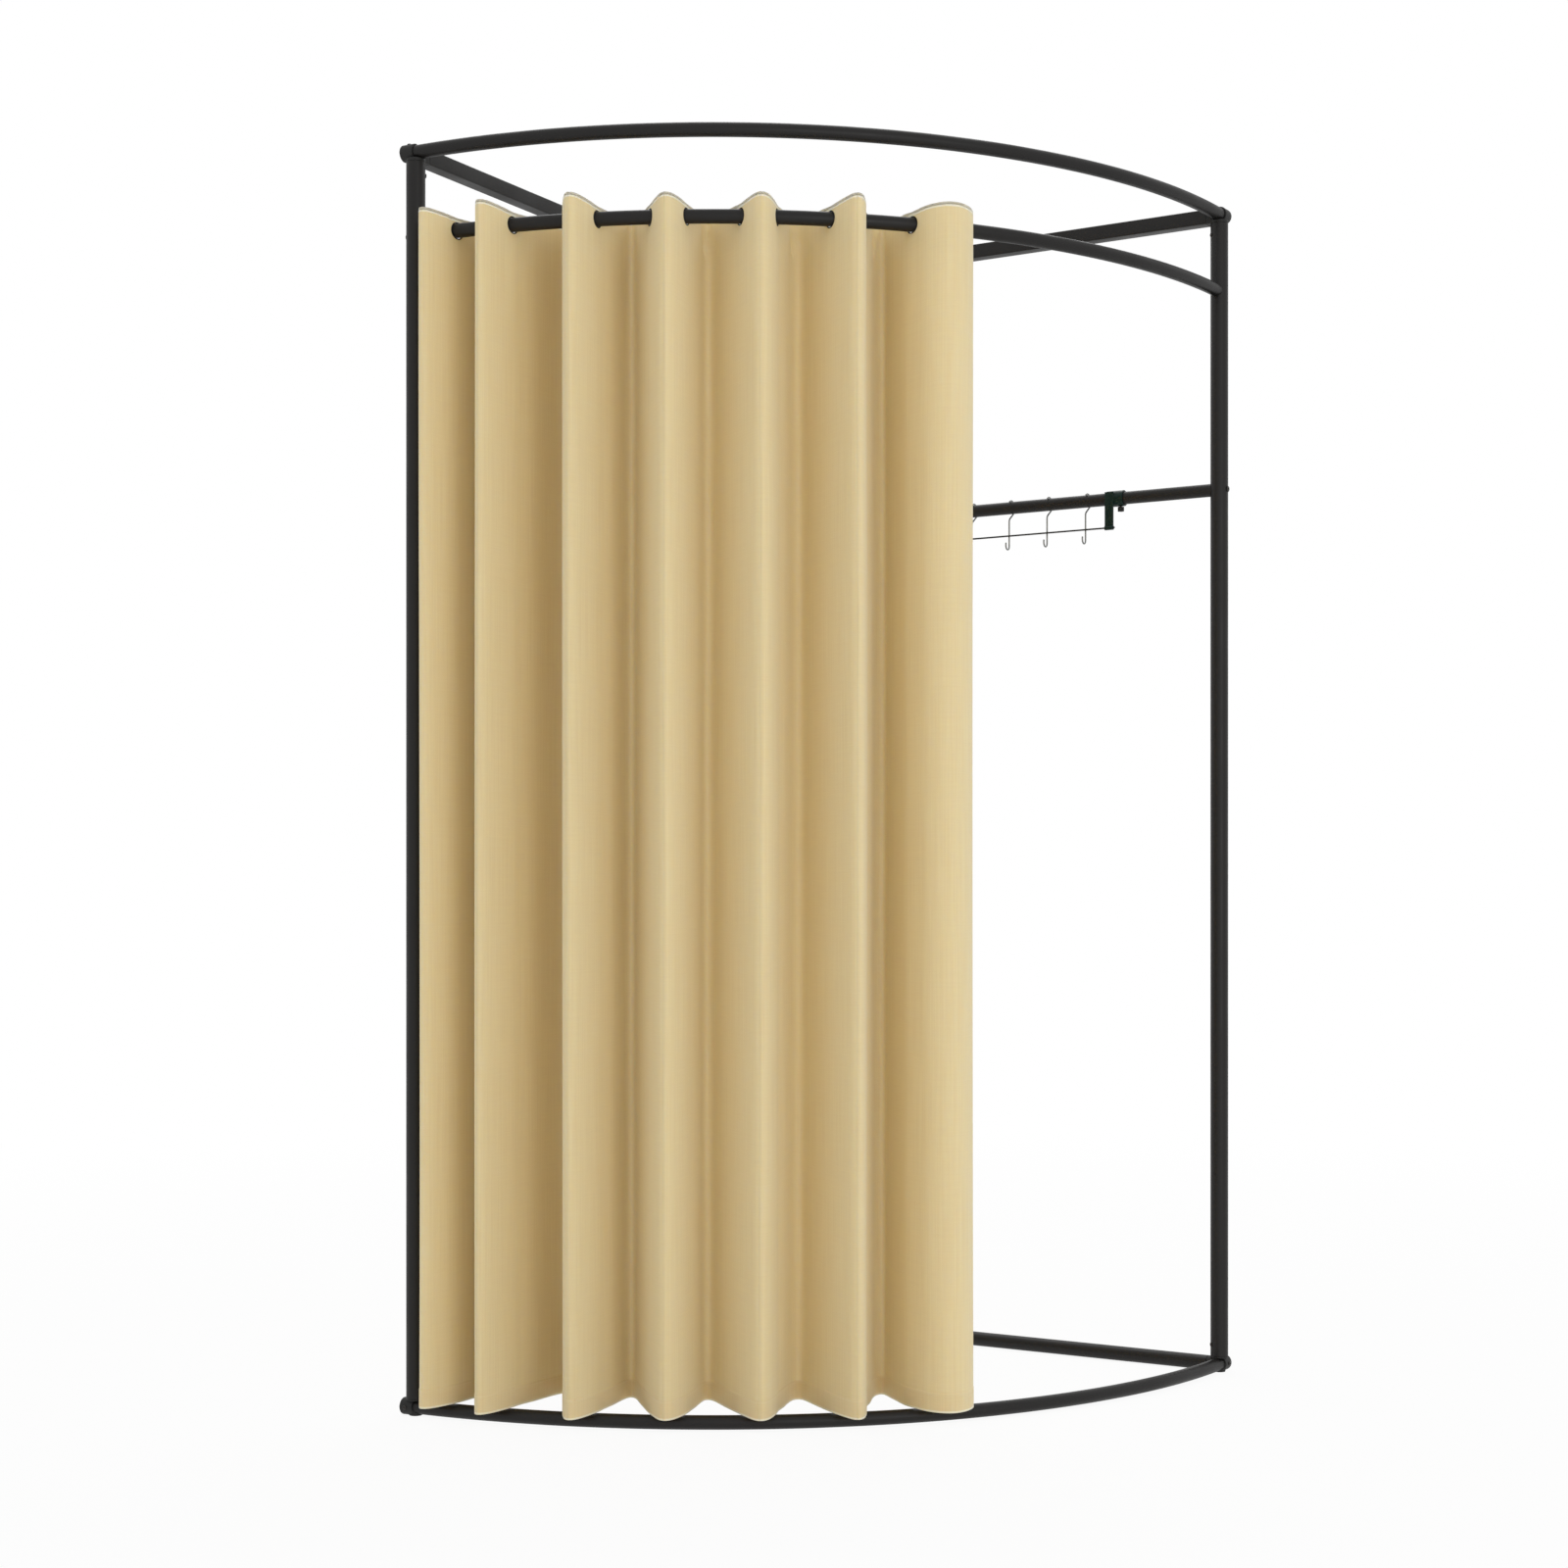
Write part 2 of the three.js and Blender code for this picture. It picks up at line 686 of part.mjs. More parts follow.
function place(name, solid, finish) {
  const mesh = new THREE.Mesh(toGeometry(solid), new THREE.MeshStandardMaterial(finish));
  mesh.name = name;
  group.add(mesh);
}

function buildFrame() {
  const screws = [...levelScrews("top", true), ...levelScrews("bottom", false)];
  const bolts = boltWays();
  const screwHoles = unite(screws.map(({ seat, way }) => screwHoleAt(seat, way)));
  const holes = screwHoles.add(unite(bolts.map(boltHole)));
  const drilled = (name, solid, finish) => place(name, cut(solid, [holes]), finish);

  drilled("left_post", post(leftPost, topNeckZ), blackPaint);
  drilled("right_post", post(rightPost, topNeckZ), blackPaint);
  drilled("back_post", post(backPost, topNeckZ), blackPaint);
  drilled("top_bow", bow(topArcZ), blackPaint);
  drilled("bottom_bow", bow(bottomArcZ), blackPaint);
  place("curtain_rail", curtainRail(), blackPaint);
  place("left_top_bar", topBar(leftPost, backPost), blackPaint);
  place("right_top_bar", topBar(rightPost, backPost), blackPaint);
  place("left_bottom_bar", bottomBar(leftPost, backPost), blackPaint);
  place("right_bottom_bar", bottomBar(rightPost, backPost), blackPaint);
  place("hanging_bar", hangingBar(), blackPaint);
  drilled("top_left_fitting", frontFitting(leftPost, -1, true), blackPlastic);
  drilled("top_right_fitting", frontFitting(rightPost, 1, true), blackPlastic);
  drilled("top_back_fitting", backFitting(true), blackPlastic);
  drilled("bottom_left_fitting", frontFitting(leftPost, -1, false), blackPlastic);
  drilled("bottom_right_fitting", frontFitting(rightPost, 1, false), blackPlastic);
  drilled("bottom_back_fitting", backFitting(false), blackPlastic);

  screws.forEach(({ name, seat, way }) => place(name, screwAt(seat, way), darkSteel));
  bolts.forEach((bolt) => {
    place(`${bolt.name}_bolt`, boltThrough(bolt), darkSteel);
    place(`${bolt.name}_plug`, endPlug(bolt), blackPlastic);
  });
}

function buildRack() {
  place("rack_bracket_front", rackBracket(rackStart, -1), greenPaint);
  place("rack_bracket_rear", rackBracket(rackEnd, 1), greenPaint);
  place("rack_rod", rackRod(), wireSteel);
  place("rack_thumb_screw_front", thumbScrew(rackStart, -1), blackPlastic);
  place("rack_thumb_screw_rear", thumbScrew(rackEnd, 1), blackPlastic);
  for (let i = 0; i < hookCount; i += 1) {
    place(`hook_${i + 1}`, hook(rackStart + rackHookInset + hookPitch * i), wireSteel);
  }
}

function buildCurtain() {
  for (let i = 0; i < pleatCount; i += 1) {
    place(`curtain_pleat_${i + 1}`, pleat(i), beigeCloth);
  }
  for (let i = 0; i < pleatCount - 1; i += 1) {
    place(`curtain_valley_${i + 1}`, valley(i), beigeCloth);
  }
}

// The middle of the part's outline in plan goes to the origin
function centre() {
  const box = new THREE.Box3().setFromObject(group);
  const middle = box.getCenter(new THREE.Vector3());
  group.children.forEach((mesh) => mesh.geometry.translate(-middle.x, -middle.y, -box.min.z));
}

buildFrame();
buildRack();
buildCurtain();
centre();

export default group;
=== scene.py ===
# Looks for the quarter-round fitting room: a black tube frame with an eyelet curtain on
# its bowed front rail and a hook rack on the bar of the right-hand wall.
import math

import bmesh
import bpy
from mathutils import Matrix, Vector, noise


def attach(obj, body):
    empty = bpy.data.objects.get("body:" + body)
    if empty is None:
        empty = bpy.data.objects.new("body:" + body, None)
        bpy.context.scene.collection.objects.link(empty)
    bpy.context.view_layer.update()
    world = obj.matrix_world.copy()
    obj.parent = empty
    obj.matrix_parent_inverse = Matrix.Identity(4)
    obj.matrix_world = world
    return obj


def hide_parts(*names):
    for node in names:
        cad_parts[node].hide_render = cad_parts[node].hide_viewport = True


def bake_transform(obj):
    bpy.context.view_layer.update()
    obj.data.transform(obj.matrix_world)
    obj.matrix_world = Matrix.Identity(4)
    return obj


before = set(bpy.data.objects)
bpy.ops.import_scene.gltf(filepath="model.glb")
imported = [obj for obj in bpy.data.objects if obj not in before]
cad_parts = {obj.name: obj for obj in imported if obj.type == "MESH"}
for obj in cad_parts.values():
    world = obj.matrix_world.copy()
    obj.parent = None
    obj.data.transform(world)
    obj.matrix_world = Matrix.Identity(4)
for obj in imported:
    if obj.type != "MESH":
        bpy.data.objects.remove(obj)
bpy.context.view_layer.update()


# The studio
# A white floor, an even white sky, a strong soft box in front, to the right of the camera,
# and a weaker one over the cabin. The camera stands at chest height, left of the middle.

CAMERA_PLACE = (-1.08676, -4.01035, 0.81998)
CAMERA_TURN = math.radians(14.662)
CAMERA_LENS = 55.418
CAMERA_RISE = 0.07
SENSOR_WIDTH = 36
FARTHEST_SEEN = 200
WHITE = (1, 1, 1, 1)
SKY_LIGHT = 0.72
FLOOR_SIDE = 60
FLOOR_PAPER = (0.86, 0.86, 0.86, 1)
NEAR_WHITENESS = 0.93
NEAR_EDGE = 1.0
FAR_EDGE = 4.5
SOFT_BOX_SIDE = 2.4
FRONT_BOX_PLACE = (1.2, -6.0, 1.3)
FRONT_BOX_AIM = (0, 0, 1.0)
FRONT_BOX_POWER = 48
CABIN_BOX_PLACE = (0.4, 1.6, 3.6)
CABIN_BOX_AIM = (0, -0.2, 0.9)
CABIN_BOX_POWER = 34


def link(thing):
    bpy.context.scene.collection.objects.link(thing)
    return thing


camera = link(bpy.data.objects.new("camera", bpy.data.cameras.new("camera")))
camera.location = CAMERA_PLACE
camera.rotation_euler = (math.pi / 2, 0, -CAMERA_TURN)
camera.data.sensor_width = SENSOR_WIDTH
camera.data.lens = CAMERA_LENS
camera.data.shift_y = CAMERA_RISE
camera.data.clip_end = FARTHEST_SEEN
bpy.context.scene.camera = camera
bpy.context.scene.view_settings.view_transform = "Standard"


def add_node(tree, kind, settings=None, inputs=None):
    """Adds a node. A setting is one of its properties; an input is a value or a socket to link."""
    node = tree.nodes.new(kind)
    for name, value in (settings or {}).items():
        setattr(node, name, value)
    for name, value in (inputs or {}).items():
        if isinstance(value, bpy.types.NodeSocket):
            tree.links.new(value, node.inputs[name])
        else:
            node.inputs[name].default_value = value
    return node


def maths(tree, operation, *inputs):
    """What a maths node makes of numbers and sockets."""
    return add_node(tree, "ShaderNodeMath", {"operation": operation},
                    dict(enumerate(inputs))).outputs[0]


def ranged(tree, value, source, target, settings=None):
    """A value mapped from one range to another, and held within it."""
    return add_node(tree, "ShaderNodeMapRange", settings, {
        "Value": value, "From Min": source[0], "From Max": source[1],
        "To Min": target[0], "To Max": target[1]}).outputs[0]


def empty_tree(owner):
    """The node tree of a world or a material, cleared."""
    owner.use_nodes = True
    owner.node_tree.nodes.clear()
    return owner.node_tree


def seen_directly(tree):
    """1 for what the camera, gloss and glass see, and 0 for the light that falls on things."""
    path = add_node(tree, "ShaderNodeLightPath").outputs
    either = maths(tree, "MAXIMUM", path["Is Camera Ray"], path["Is Glossy Ray"])
    return maths(tree, "MAXIMUM", either, path["Is Transmission Ray"])


def end_in_two(tree, output, share, lit, seen):
    """Ends a tree in a mix of the shader that lights things and the one that is seen."""
    mix = add_node(tree, "ShaderNodeMixShader", None, {
        0: share, 1: lit.outputs[0], 2: seen.outputs[0]})
    add_node(tree, output, None, {"Surface": mix.outputs[0]})


sky = bpy.data.worlds.new("white sky")
sky_tree = empty_tree(sky)
sky_light, sky_white = (
    add_node(sky_tree, "ShaderNodeBackground", None, {"Color": WHITE, "Strength": strength})
    for strength in (SKY_LIGHT, 1))
end_in_two(sky_tree, "ShaderNodeOutputWorld", seen_directly(sky_tree), sky_light, sky_white)
bpy.context.scene.world = sky

floor_paper = bpy.data.materials.new("white_floor_paper")
floor_tree = empty_tree(floor_paper)
floor_matte = add_node(floor_tree, "ShaderNodeBsdfDiffuse", None, {"Color": FLOOR_PAPER})
floor_glow = add_node(floor_tree, "ShaderNodeEmission", None, {"Strength": 1})
floor_distance = add_node(floor_tree, "ShaderNodeVectorMath", {"operation": "LENGTH"}, {
    0: add_node(floor_tree, "ShaderNodeTexCoord").outputs["Object"]})
floor_whiteness = ranged(floor_tree, floor_distance.outputs["Value"], (NEAR_EDGE, FAR_EDGE),
                         (NEAR_WHITENESS, 1), {"interpolation_type": "SMOOTHSTEP"})
floor_share = maths(floor_tree, "MULTIPLY", seen_directly(floor_tree), floor_whiteness)
end_in_two(floor_tree, "ShaderNodeOutputMaterial", floor_share, floor_matte, floor_glow)

floor_mesh = bpy.data.meshes.new("floor")
floor_bm = bmesh.new()
bmesh.ops.create_grid(floor_bm, x_segments=1, y_segments=1, size=FLOOR_SIDE / 2)
floor_bm.to_mesh(floor_mesh)
floor_bm.free()
floor_mesh.materials.append(floor_paper)
link(bpy.data.objects.new("floor", floor_mesh))


def soft_box(name, place, aim, power):
    lamp = link(bpy.data.objects.new(name, bpy.data.lights.new(name, "AREA")))
    lamp.data.shape = "SQUARE"
    lamp.data.size = SOFT_BOX_SIDE
    lamp.data.energy = power
    lamp.location = place
    lamp.rotation_euler = (Vector(aim) - Vector(place)).to_track_quat("-Z", "Y").to_euler()


soft_box("front_soft_box", FRONT_BOX_PLACE, FRONT_BOX_AIM, FRONT_BOX_POWER)
soft_box("cabin_soft_box", CABIN_BOX_PLACE, CABIN_BOX_AIM, CABIN_BOX_POWER)


# The posts
# Three round steel tubes, powder coated satin black: two at the ends of the bowed front
# and one in the back corner. Each is a push fit over the spigots of its two fittings.

MM = 0.001
FIT_GAP = 0.3
WALL_LENGTH = 970
FRONT_BOW = 263
PLAN_SHIFT = -188.84
POST_RADIUS = 15
POST_WALL = 1.5
POST_FOOT = 26.8
POST_TOP = 1970.2
TUBE_RIM = 0.35

half_chord = WALL_LENGTH * math.sqrt(0.5)
left_post = Vector((-half_chord, PLAN_SHIFT, 0)) * MM
right_post = Vector((half_chord, PLAN_SHIFT, 0)) * MM
back_post = Vector((0, half_chord + PLAN_SHIFT, 0)) * MM


def upward(height):
    """Straight up by a height in millimetres."""
    return Vector((0, 0, height * MM))


def linear(colour):
    """A hex sRGB colour as linear red, green, blue and alpha."""
    parts = [int(colour[i:i + 2], 16) / 255 for i in (1, 3, 5)]
    return [c / 12.92 if c <= 0.04045 else ((c + 0.055) / 1.055) ** 2.4 for c in parts] + [1]


def surface(name, settings):
    """A material with one Principled shader, and its node tree, shader and object coordinates."""
    material = bpy.data.materials.new(name)
    tree = empty_tree(material)
    shader = add_node(tree, "ShaderNodeBsdfPrincipled", None, settings)
    add_node(tree, "ShaderNodeOutputMaterial", None, {"Surface": shader.outputs[0]})
    place = add_node(tree, "ShaderNodeTexCoord").outputs["Object"]
    return material, tree, shader, place


def noise_of(tree, place, size, detail, roughness):
    """Cloudy noise, with clouds of a size in millimetres."""
    return add_node(tree, "ShaderNodeTexNoise", None, {
        "Vector": place, "Scale": 1 / (size * MM), "Detail": detail,
        "Roughness": roughness}).outputs["Fac"]


def mixed(tree, share, first, second, blend="MIX"):
    """Two colours mixed, with a share of the second."""
    return add_node(tree, "ShaderNodeMix", {"data_type": "RGBA", "blend_type": blend}, {
        "Factor": share, "A": first, "B": second}).outputs["Result"]


def cloud_over(tree, shader, clouds, tones, dullness, span=(0, 1)):
    """Lets noise carry the colour from tone to tone, and the roughness from low to high."""
    tone = mixed(tree, clouds, linear(tones[0]), linear(tones[1]))
    tree.links.new(tone, shader.inputs["Base Color"])
    tree.links.new(ranged(tree, clouds, span, dullness), shader.inputs["Roughness"])


def emboss(tree, shader, height, strength, depth):
    """Raises the skin where the height is more, by a depth in millimetres."""
    bump = add_node(tree, "ShaderNodeBump", None, {
        "Height": height, "Strength": strength, "Distance": depth * MM})
    tree.links.new(bump.outputs[0], shader.inputs["Normal"])


def satin_powder_coat():
    # Thermoset polyester powder, sprayed and baked on steel: a deep black with a broad soft
    # sheen, a fine orange peel, and faint dull patches where hands and cartons rubbed it.
    material, tree, shader, place = surface("satin_black_powder_coat", {
        "Base Color": linear("#181716"), "IOR": 1.5, "Specular IOR Level": 0.28})
    rub = noise_of(tree, place, 90, 4, 0.6)
    cloud_over(tree, shader, rub, ("#151413", "#1d1b1a"), (0.4, 0.54), (0.35, 0.7))
    emboss(tree, shader, noise_of(tree, place, 2.6, 2, 0.45), 0.35, 0.05)
    return material


powder_coat = satin_powder_coat()


def spun(profile, closed=False, sides=48):
    """A solid turned round the Z axis from [radius, height] in millimetres."""
    bm = bmesh.new()
    verts = [bm.verts.new((radius * MM, 0, height * MM)) for radius, height in profile]
    last = verts[1:] + verts[:1] if closed else verts[1:]
    edges = [bm.edges.new(pair) for pair in zip(verts, last)]
    bmesh.ops.spin(bm, geom=verts + edges, cent=(0, 0, 0), axis=(0, 0, 1),
                   angle=math.tau, steps=sides, use_merge=True)
    bmesh.ops.remove_doubles(bm, verts=bm.verts, dist=1e-6)
    bmesh.ops.recalc_face_normals(bm, faces=bm.faces)
    return bm


def tube_profile(radius, wall, start, end, rim=TUBE_RIM):
    """The cut through a tube's wall, with its four rims broken as a saw and a coat leave them."""
    inner = radius - wall
    return [(inner + rim, start), (radius - rim, start), (radius, start + rim),
            (radius, end - rim), (radius - rim, end), (inner + rim, end),
            (inner, end - rim), (inner, start + rim)]


def move(bm, matrix):
    bmesh.ops.transform(bm, matrix=matrix, verts=bm.verts)
    return bm


def axis_matrix(start, way):
    """Puts the Z axis at start, pointing along way."""
    return Matrix.Translation(start) @ Vector(way).to_track_quat("Z", "Y").to_matrix().to_4x4()


def smooth(mesh, corner):
    """Smooth rounds, with an edge kept where faces meet at over corner degrees."""
    mesh.polygons.foreach_set("use_smooth", [True] * len(mesh.polygons))
    mesh.set_sharp_from_angle(angle=math.radians(corner))


def finish_mesh(name, bm, material, corner=35):
    """Makes the object from a bmesh, which is used up."""
    mesh = bpy.data.meshes.new(name)
    bm.to_mesh(mesh)
    bm.free()
    smooth(mesh, corner)
    mesh.materials.append(material)
    return link(bpy.data.objects.new(name, mesh))


def stand_for(piece, slot, body, *nodes):
    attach(piece, body)
    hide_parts(*nodes)
    return piece


def frame_tube(name, bm, node):
    """A powder-coated tube in place of the frame's node."""
    stand_for(finish_mesh(name, bm, powder_coat), "frame_paint", "frame", node)


for side, plan in (("left", left_post), ("right", right_post), ("back", back_post)):
    tube = spun(tube_profile(POST_RADIUS, POST_WALL, POST_FOOT, POST_TOP), closed=True, sides=56)
    frame_tube(f"{side}_post_tube", move(tube, Matrix.Translation(plan)), f"{side}_post")


# The bows and the curtain rail
# Three 22 mm steel tubes, rolled to the same long curve and powder coated. The top and
# bottom bows push into the front fittings; the rail is coped to the posts and bolted.

BOW_RADIUS = 11
BOW_WALL = 1.2
TOP_BOW_HEIGHT = 1986.5
BOTTOM_BOW_HEIGHT = 13
RAIL_HEIGHT = 1854
BOW_PAST_POST = 18.9
BOW_STEPS = 96
COPE_START = 24
COPE_SLACK = 2

arc_radius = (half_chord ** 2 + FRONT_BOW ** 2) / (2 * FRONT_BOW)
arc_centre = Vector((0, arc_radius - FRONT_BOW + PLAN_SHIFT, 0)) * MM
post_angle = math.asin(half_chord / arc_radius)
bow_heights = (("top", TOP_BOW_HEIGHT), ("bottom", BOTTOM_BOW_HEIGHT))
front_posts = (("left", left_post, -1), ("right", right_post, 1))


def outward_way(angle):
    return Vector((math.sin(angle), -math.cos(angle), 0))


def along_way(angle):
    return Vector((math.cos(angle), math.sin(angle), 0))


def on_arc(angle, outward, height):
    """A point by its angle round the arc's centre, and by outward and height in millimetres."""
    spot = arc_centre + outward_way(angle) * ((arc_radius + outward) * MM)
    return Vector((spot.x, spot.y, height * MM))


def bowed_tube(height, reach, radius=BOW_RADIUS, wall=BOW_WALL):
    """A tube rolled to the front's curve, from -reach to reach in radians; solid with no wall."""
    bm = bmesh.new()
    bmesh.ops.create_circle(bm, segments=40, radius=radius * MM, cap_ends=not wall)
    if wall:
        bmesh.ops.create_circle(bm, segments=40, radius=(radius - wall) * MM)
        bmesh.ops.bridge_loops(bm, edges=bm.edges[:])
    move(bm, Matrix.Rotation(math.pi / 2, 4, "Y"))
    move(bm, Matrix.Translation(on_arc(-reach, 0, height)) @ Matrix.Rotation(-reach, 4, "Z"))
    bmesh.ops.spin(bm, geom=bm.verts[:] + bm.edges[:] + bm.faces[:], cent=arc_centre,
                   axis=(0, 0, 1), angle=2 * reach, steps=BOW_STEPS)
    bmesh.ops.recalc_face_normals(bm, faces=bm.faces)
    return bm


def cope(bm, post, way):
    """Moves a tube's end back to the round of the post that it meets. Way leads off the post."""
    across = Vector((-way.y, way.x, 0))
    for vert in bm.verts:
        local = vert.co - post
        reach, side = local.dot(way), local.dot(across)
        if 0 < reach < (COPE_START + COPE_SLACK) * MM and abs(side) < POST_RADIUS * MM:
            fit = math.sqrt(((POST_RADIUS + FIT_GAP) * MM) ** 2 - side ** 2)
            vert.co += way * (fit - reach)


for level, height in bow_heights:
    bow = bowed_tube(height, post_angle + BOW_PAST_POST / arc_radius)
    frame_tube(f"{level}_bow_tube", bow, f"{level}_bow")

rail = bowed_tube(RAIL_HEIGHT, post_angle - COPE_START / arc_radius)
cope(rail, left_post, along_way(-post_angle))
cope(rail, right_post, -along_way(post_angle))
frame_tube("curtain_rail_tube", rail, "curtain_rail")


# The straight bars of the two walls
# Square steel tube at the top and 25 mm round tube at the floor, pushed over the fittings'
# spigots. The 22 mm hanging bar is coped to two posts and held by a bolt at each end.

TOP_BAR_SIDE = 25
TOP_BAR_CORNER = 2.5
TOP_BAR_HEIGHT = 1983
BAR_WALL = 1.5
BOTTOM_BAR_RADIUS = 12.5
SHOULDER_REACH = 20
HANGING_BAR_HEIGHT = 1514


def bar_run(start_post, end_post, height):
    """Where a wall bar starts, which way it goes and how long it is, between two shoulders."""
    way = (end_post - start_post).normalized()
    inset = (SHOULDER_REACH + FIT_GAP) * MM
    return (start_post + way * inset + upward(height), way,
            (end_post - start_post).length - 2 * inset)


def turned_to(way):
    """Turns the X axis to a level way."""
    return Matrix.Rotation(math.atan2(way.y, way.x), 4, "Z")


def drawn_out(bm, length):
    """Draws a flat shape out along Z into a closed solid."""
    far = bmesh.ops.extrude_face_region(bm, geom=bm.faces[:], use_keep_orig=True)["geom"]
    bmesh.ops.translate(bm, vec=(0, 0, length),
                        verts=[part for part in far if isinstance(part, bmesh.types.BMVert)])
    bmesh.ops.recalc_face_normals(bm, faces=bm.faces)
    return bm


def square_tube(side, corner, wall, length):
    bm = bmesh.new()
    bmesh.ops.create_grid(bm, x_segments=1, y_segments=1, size=side / 2 * MM)
    bmesh.ops.bevel(bm, geom=bm.verts[:], offset=corner * MM, affect="VERTICES", segments=5,
                    profile=0.5, material=-1, offset_type="OFFSET")
    bmesh.ops.inset_region(bm, faces=bm.faces[:], thickness=wall * MM, use_boundary=True)
    middle = min(bm.faces, key=lambda face: face.calc_center_median().length)
    bmesh.ops.delete(bm, geom=[middle], context="FACES_ONLY")
    return drawn_out(bm, length)


for side, plan, end in front_posts:
    start, way, length = bar_run(plan, back_post, TOP_BAR_HEIGHT)
    top_bar = square_tube(TOP_BAR_SIDE, TOP_BAR_CORNER, BAR_WALL, length)
    move(top_bar, Matrix.Translation(start) @ turned_to(way)
         @ Matrix.Rotation(math.pi / 2, 4, "Y"))
    frame_tube(f"{side}_top_wall_bar", top_bar, f"{side}_top_bar")

    start, way, length = bar_run(plan, back_post, BOTTOM_BOW_HEIGHT)
    bottom_bar = spun(tube_profile(BOTTOM_BAR_RADIUS, BAR_WALL, 0, length / MM), closed=True)
    move(bottom_bar, axis_matrix(start, way))
    frame_tube(f"{side}_bottom_wall_bar", bottom_bar, f"{side}_bottom_bar")

bar_way = (back_post - right_post).normalized()
in_way = Vector((-bar_way.y, bar_way.x, 0))
bar_length = (back_post - right_post).length / MM
hanging_bar = spun(tube_profile(BOW_RADIUS, BOW_WALL, COPE_START - TUBE_RIM,
                                bar_length - COPE_START + TUBE_RIM), closed=True, sides=40)
move(hanging_bar, axis_matrix(right_post + upward(HANGING_BAR_HEIGHT), bar_way))
cope(hanging_bar, right_post, bar_way)
cope(hanging_bar, back_post, -bar_way)
frame_tube("hanging_bar_tube", hanging_bar, "hanging_bar")


# The corner fittings
# Six connectors moulded in glass-filled black nylon, with soft inside corners. They take
# the post, the bow and the wall bars, and the three lower ones stand on the floor.

SLEEVE_RADIUS = 13.5
SLEEVE_OUTER = 22.5
SLEEVE_INNER = 1.5
SLEEVE_ROUND = 1.2
SPIGOT_LENGTH = 45
SPIGOT_ROUND = 2
BORE_PAST_BOW = 0.6
FOOT_RADIUS = 10.5
TOP_NECK = 1970.5
BOTTOM_NECK = 26.5
BACK_CROWN_ROUND = 3
MOULD_VOXEL = 0.9
MOULD_CORNER = 42


def moulded_nylon():
    # Glass-filled nylon from a spark-eroded mould: near black, even and dull, with a fine
    # stipple and a slightly greyer bloom where the glass comes to the surface.
    material, tree, shader, place = surface("moulded_black_nylon", {
        "Base Color": linear("#1c1c1b"), "IOR": 1.53, "Specular IOR Level": 0.28})
    bloom = noise_of(tree, place, 14, 3, 0.55)
    cloud_over(tree, shader, bloom, ("#171716", "#222221"), (0.48, 0.66))
    stipple = add_node(tree, "ShaderNodeTexVoronoi", None,
                       {"Vector": place, "Scale": 1 / (1.1 * MM), "Randomness": 1})
    emboss(tree, shader, stipple.outputs["Distance"], 0.3, 0.06)
    return material


nylon = moulded_nylon()


def rod_between(start, end, radius, sides=40, round_end=0):
    """A solid round bar between two points, its far end rounded by round_end."""
    length = (end - start).length / MM
    edge = [(radius, length - round_end)]
    for i in range(1, 5):
        turn = i / 4 * math.pi / 2
        edge.append((radius - round_end * (1 - math.cos(turn)),
                     length - round_end * (1 - math.sin(turn))))
    profile = [(0, 0), (radius, 0)] + (edge if round_end else edge[:1]) + [(0, length)]
    return move(spun(profile, sides=sides), axis_matrix(start, (end - start)))


def block_between(start, end, side):
    """A square block between two points, level with the floor."""
    way = end - start
    bm = bmesh.new()
    bmesh.ops.create_cube(bm, size=1)
    return move(bm, Matrix.Translation((start + end) / 2) @ turned_to(way)
                @ Matrix.Diagonal((way.length, side * MM, side * MM, 1)))


def joined(parts):
    """One mesh from several, which are used up."""
    whole = bmesh.new()
    for part in parts:
        mesh = bpy.data.meshes.new("part")
        part.to_mesh(mesh)
        part.free()
        whole.from_mesh(mesh)
        bpy.data.meshes.remove(mesh)
    return whole


def applied(piece):
    """Makes a piece's modifiers real."""
    made = bpy.data.meshes.new_from_object(
        piece.evaluated_get(bpy.context.evaluated_depsgraph_get()))
    piece.modifiers.clear()
    old, piece.data = piece.data, made
    bpy.data.meshes.remove(old)
    return piece


def cut_by(piece, cutter):
    """Takes the cutter's shape out of the piece."""
    tool = finish_mesh("cutter", cutter, piece.data.materials[0])
    cut = piece.modifiers.new("cut", "BOOLEAN")
    cut.operation = "DIFFERENCE"
    cut.solver = "EXACT"
    cut.object = tool
    applied(piece)
    bpy.data.objects.remove(tool)


def moulded(name, parts, bore=None):
    """Fuses the forms as a mould does, with soft inside corners, and then cuts the bore."""
    piece = finish_mesh(f"{name}_connector", joined(parts), nylon)
    fuse = piece.modifiers.new("fuse", "REMESH")
    fuse.mode = "VOXEL"
    fuse.voxel_size = MOULD_VOXEL * MM
    soften = piece.modifiers.new("soften", "SMOOTH")
    soften.factor = 0.5
    soften.iterations = 3
    applied(piece)
    if bore:
        cut_by(piece, bore)
    smooth(piece.data, MOULD_CORNER)
    stand_for(piece, "black_plastic", "frame", f"{name}_fitting")


def wall_arm(plan, way, top):
    """The arm towards a wall bar: a shoulder as big as the bar, and a spigot inside it."""
    root = plan + upward(TOP_BAR_HEIGHT if top else BOTTOM_BOW_HEIGHT)
    shoulder = root + way * (SHOULDER_REACH * MM)
    tip = shoulder + way * (SPIGOT_LENGTH * MM)
    if top:
        return [block_between(root, shoulder, TOP_BAR_SIDE),
                block_between(root, tip, TOP_BAR_SIDE - 2 * BAR_WALL - 4 * FIT_GAP)]
    return [rod_between(root, shoulder, BOTTOM_BAR_RADIUS),
            rod_between(root, tip, BOTTOM_BAR_RADIUS - BAR_WALL - FIT_GAP,
                        round_end=SPIGOT_ROUND)]


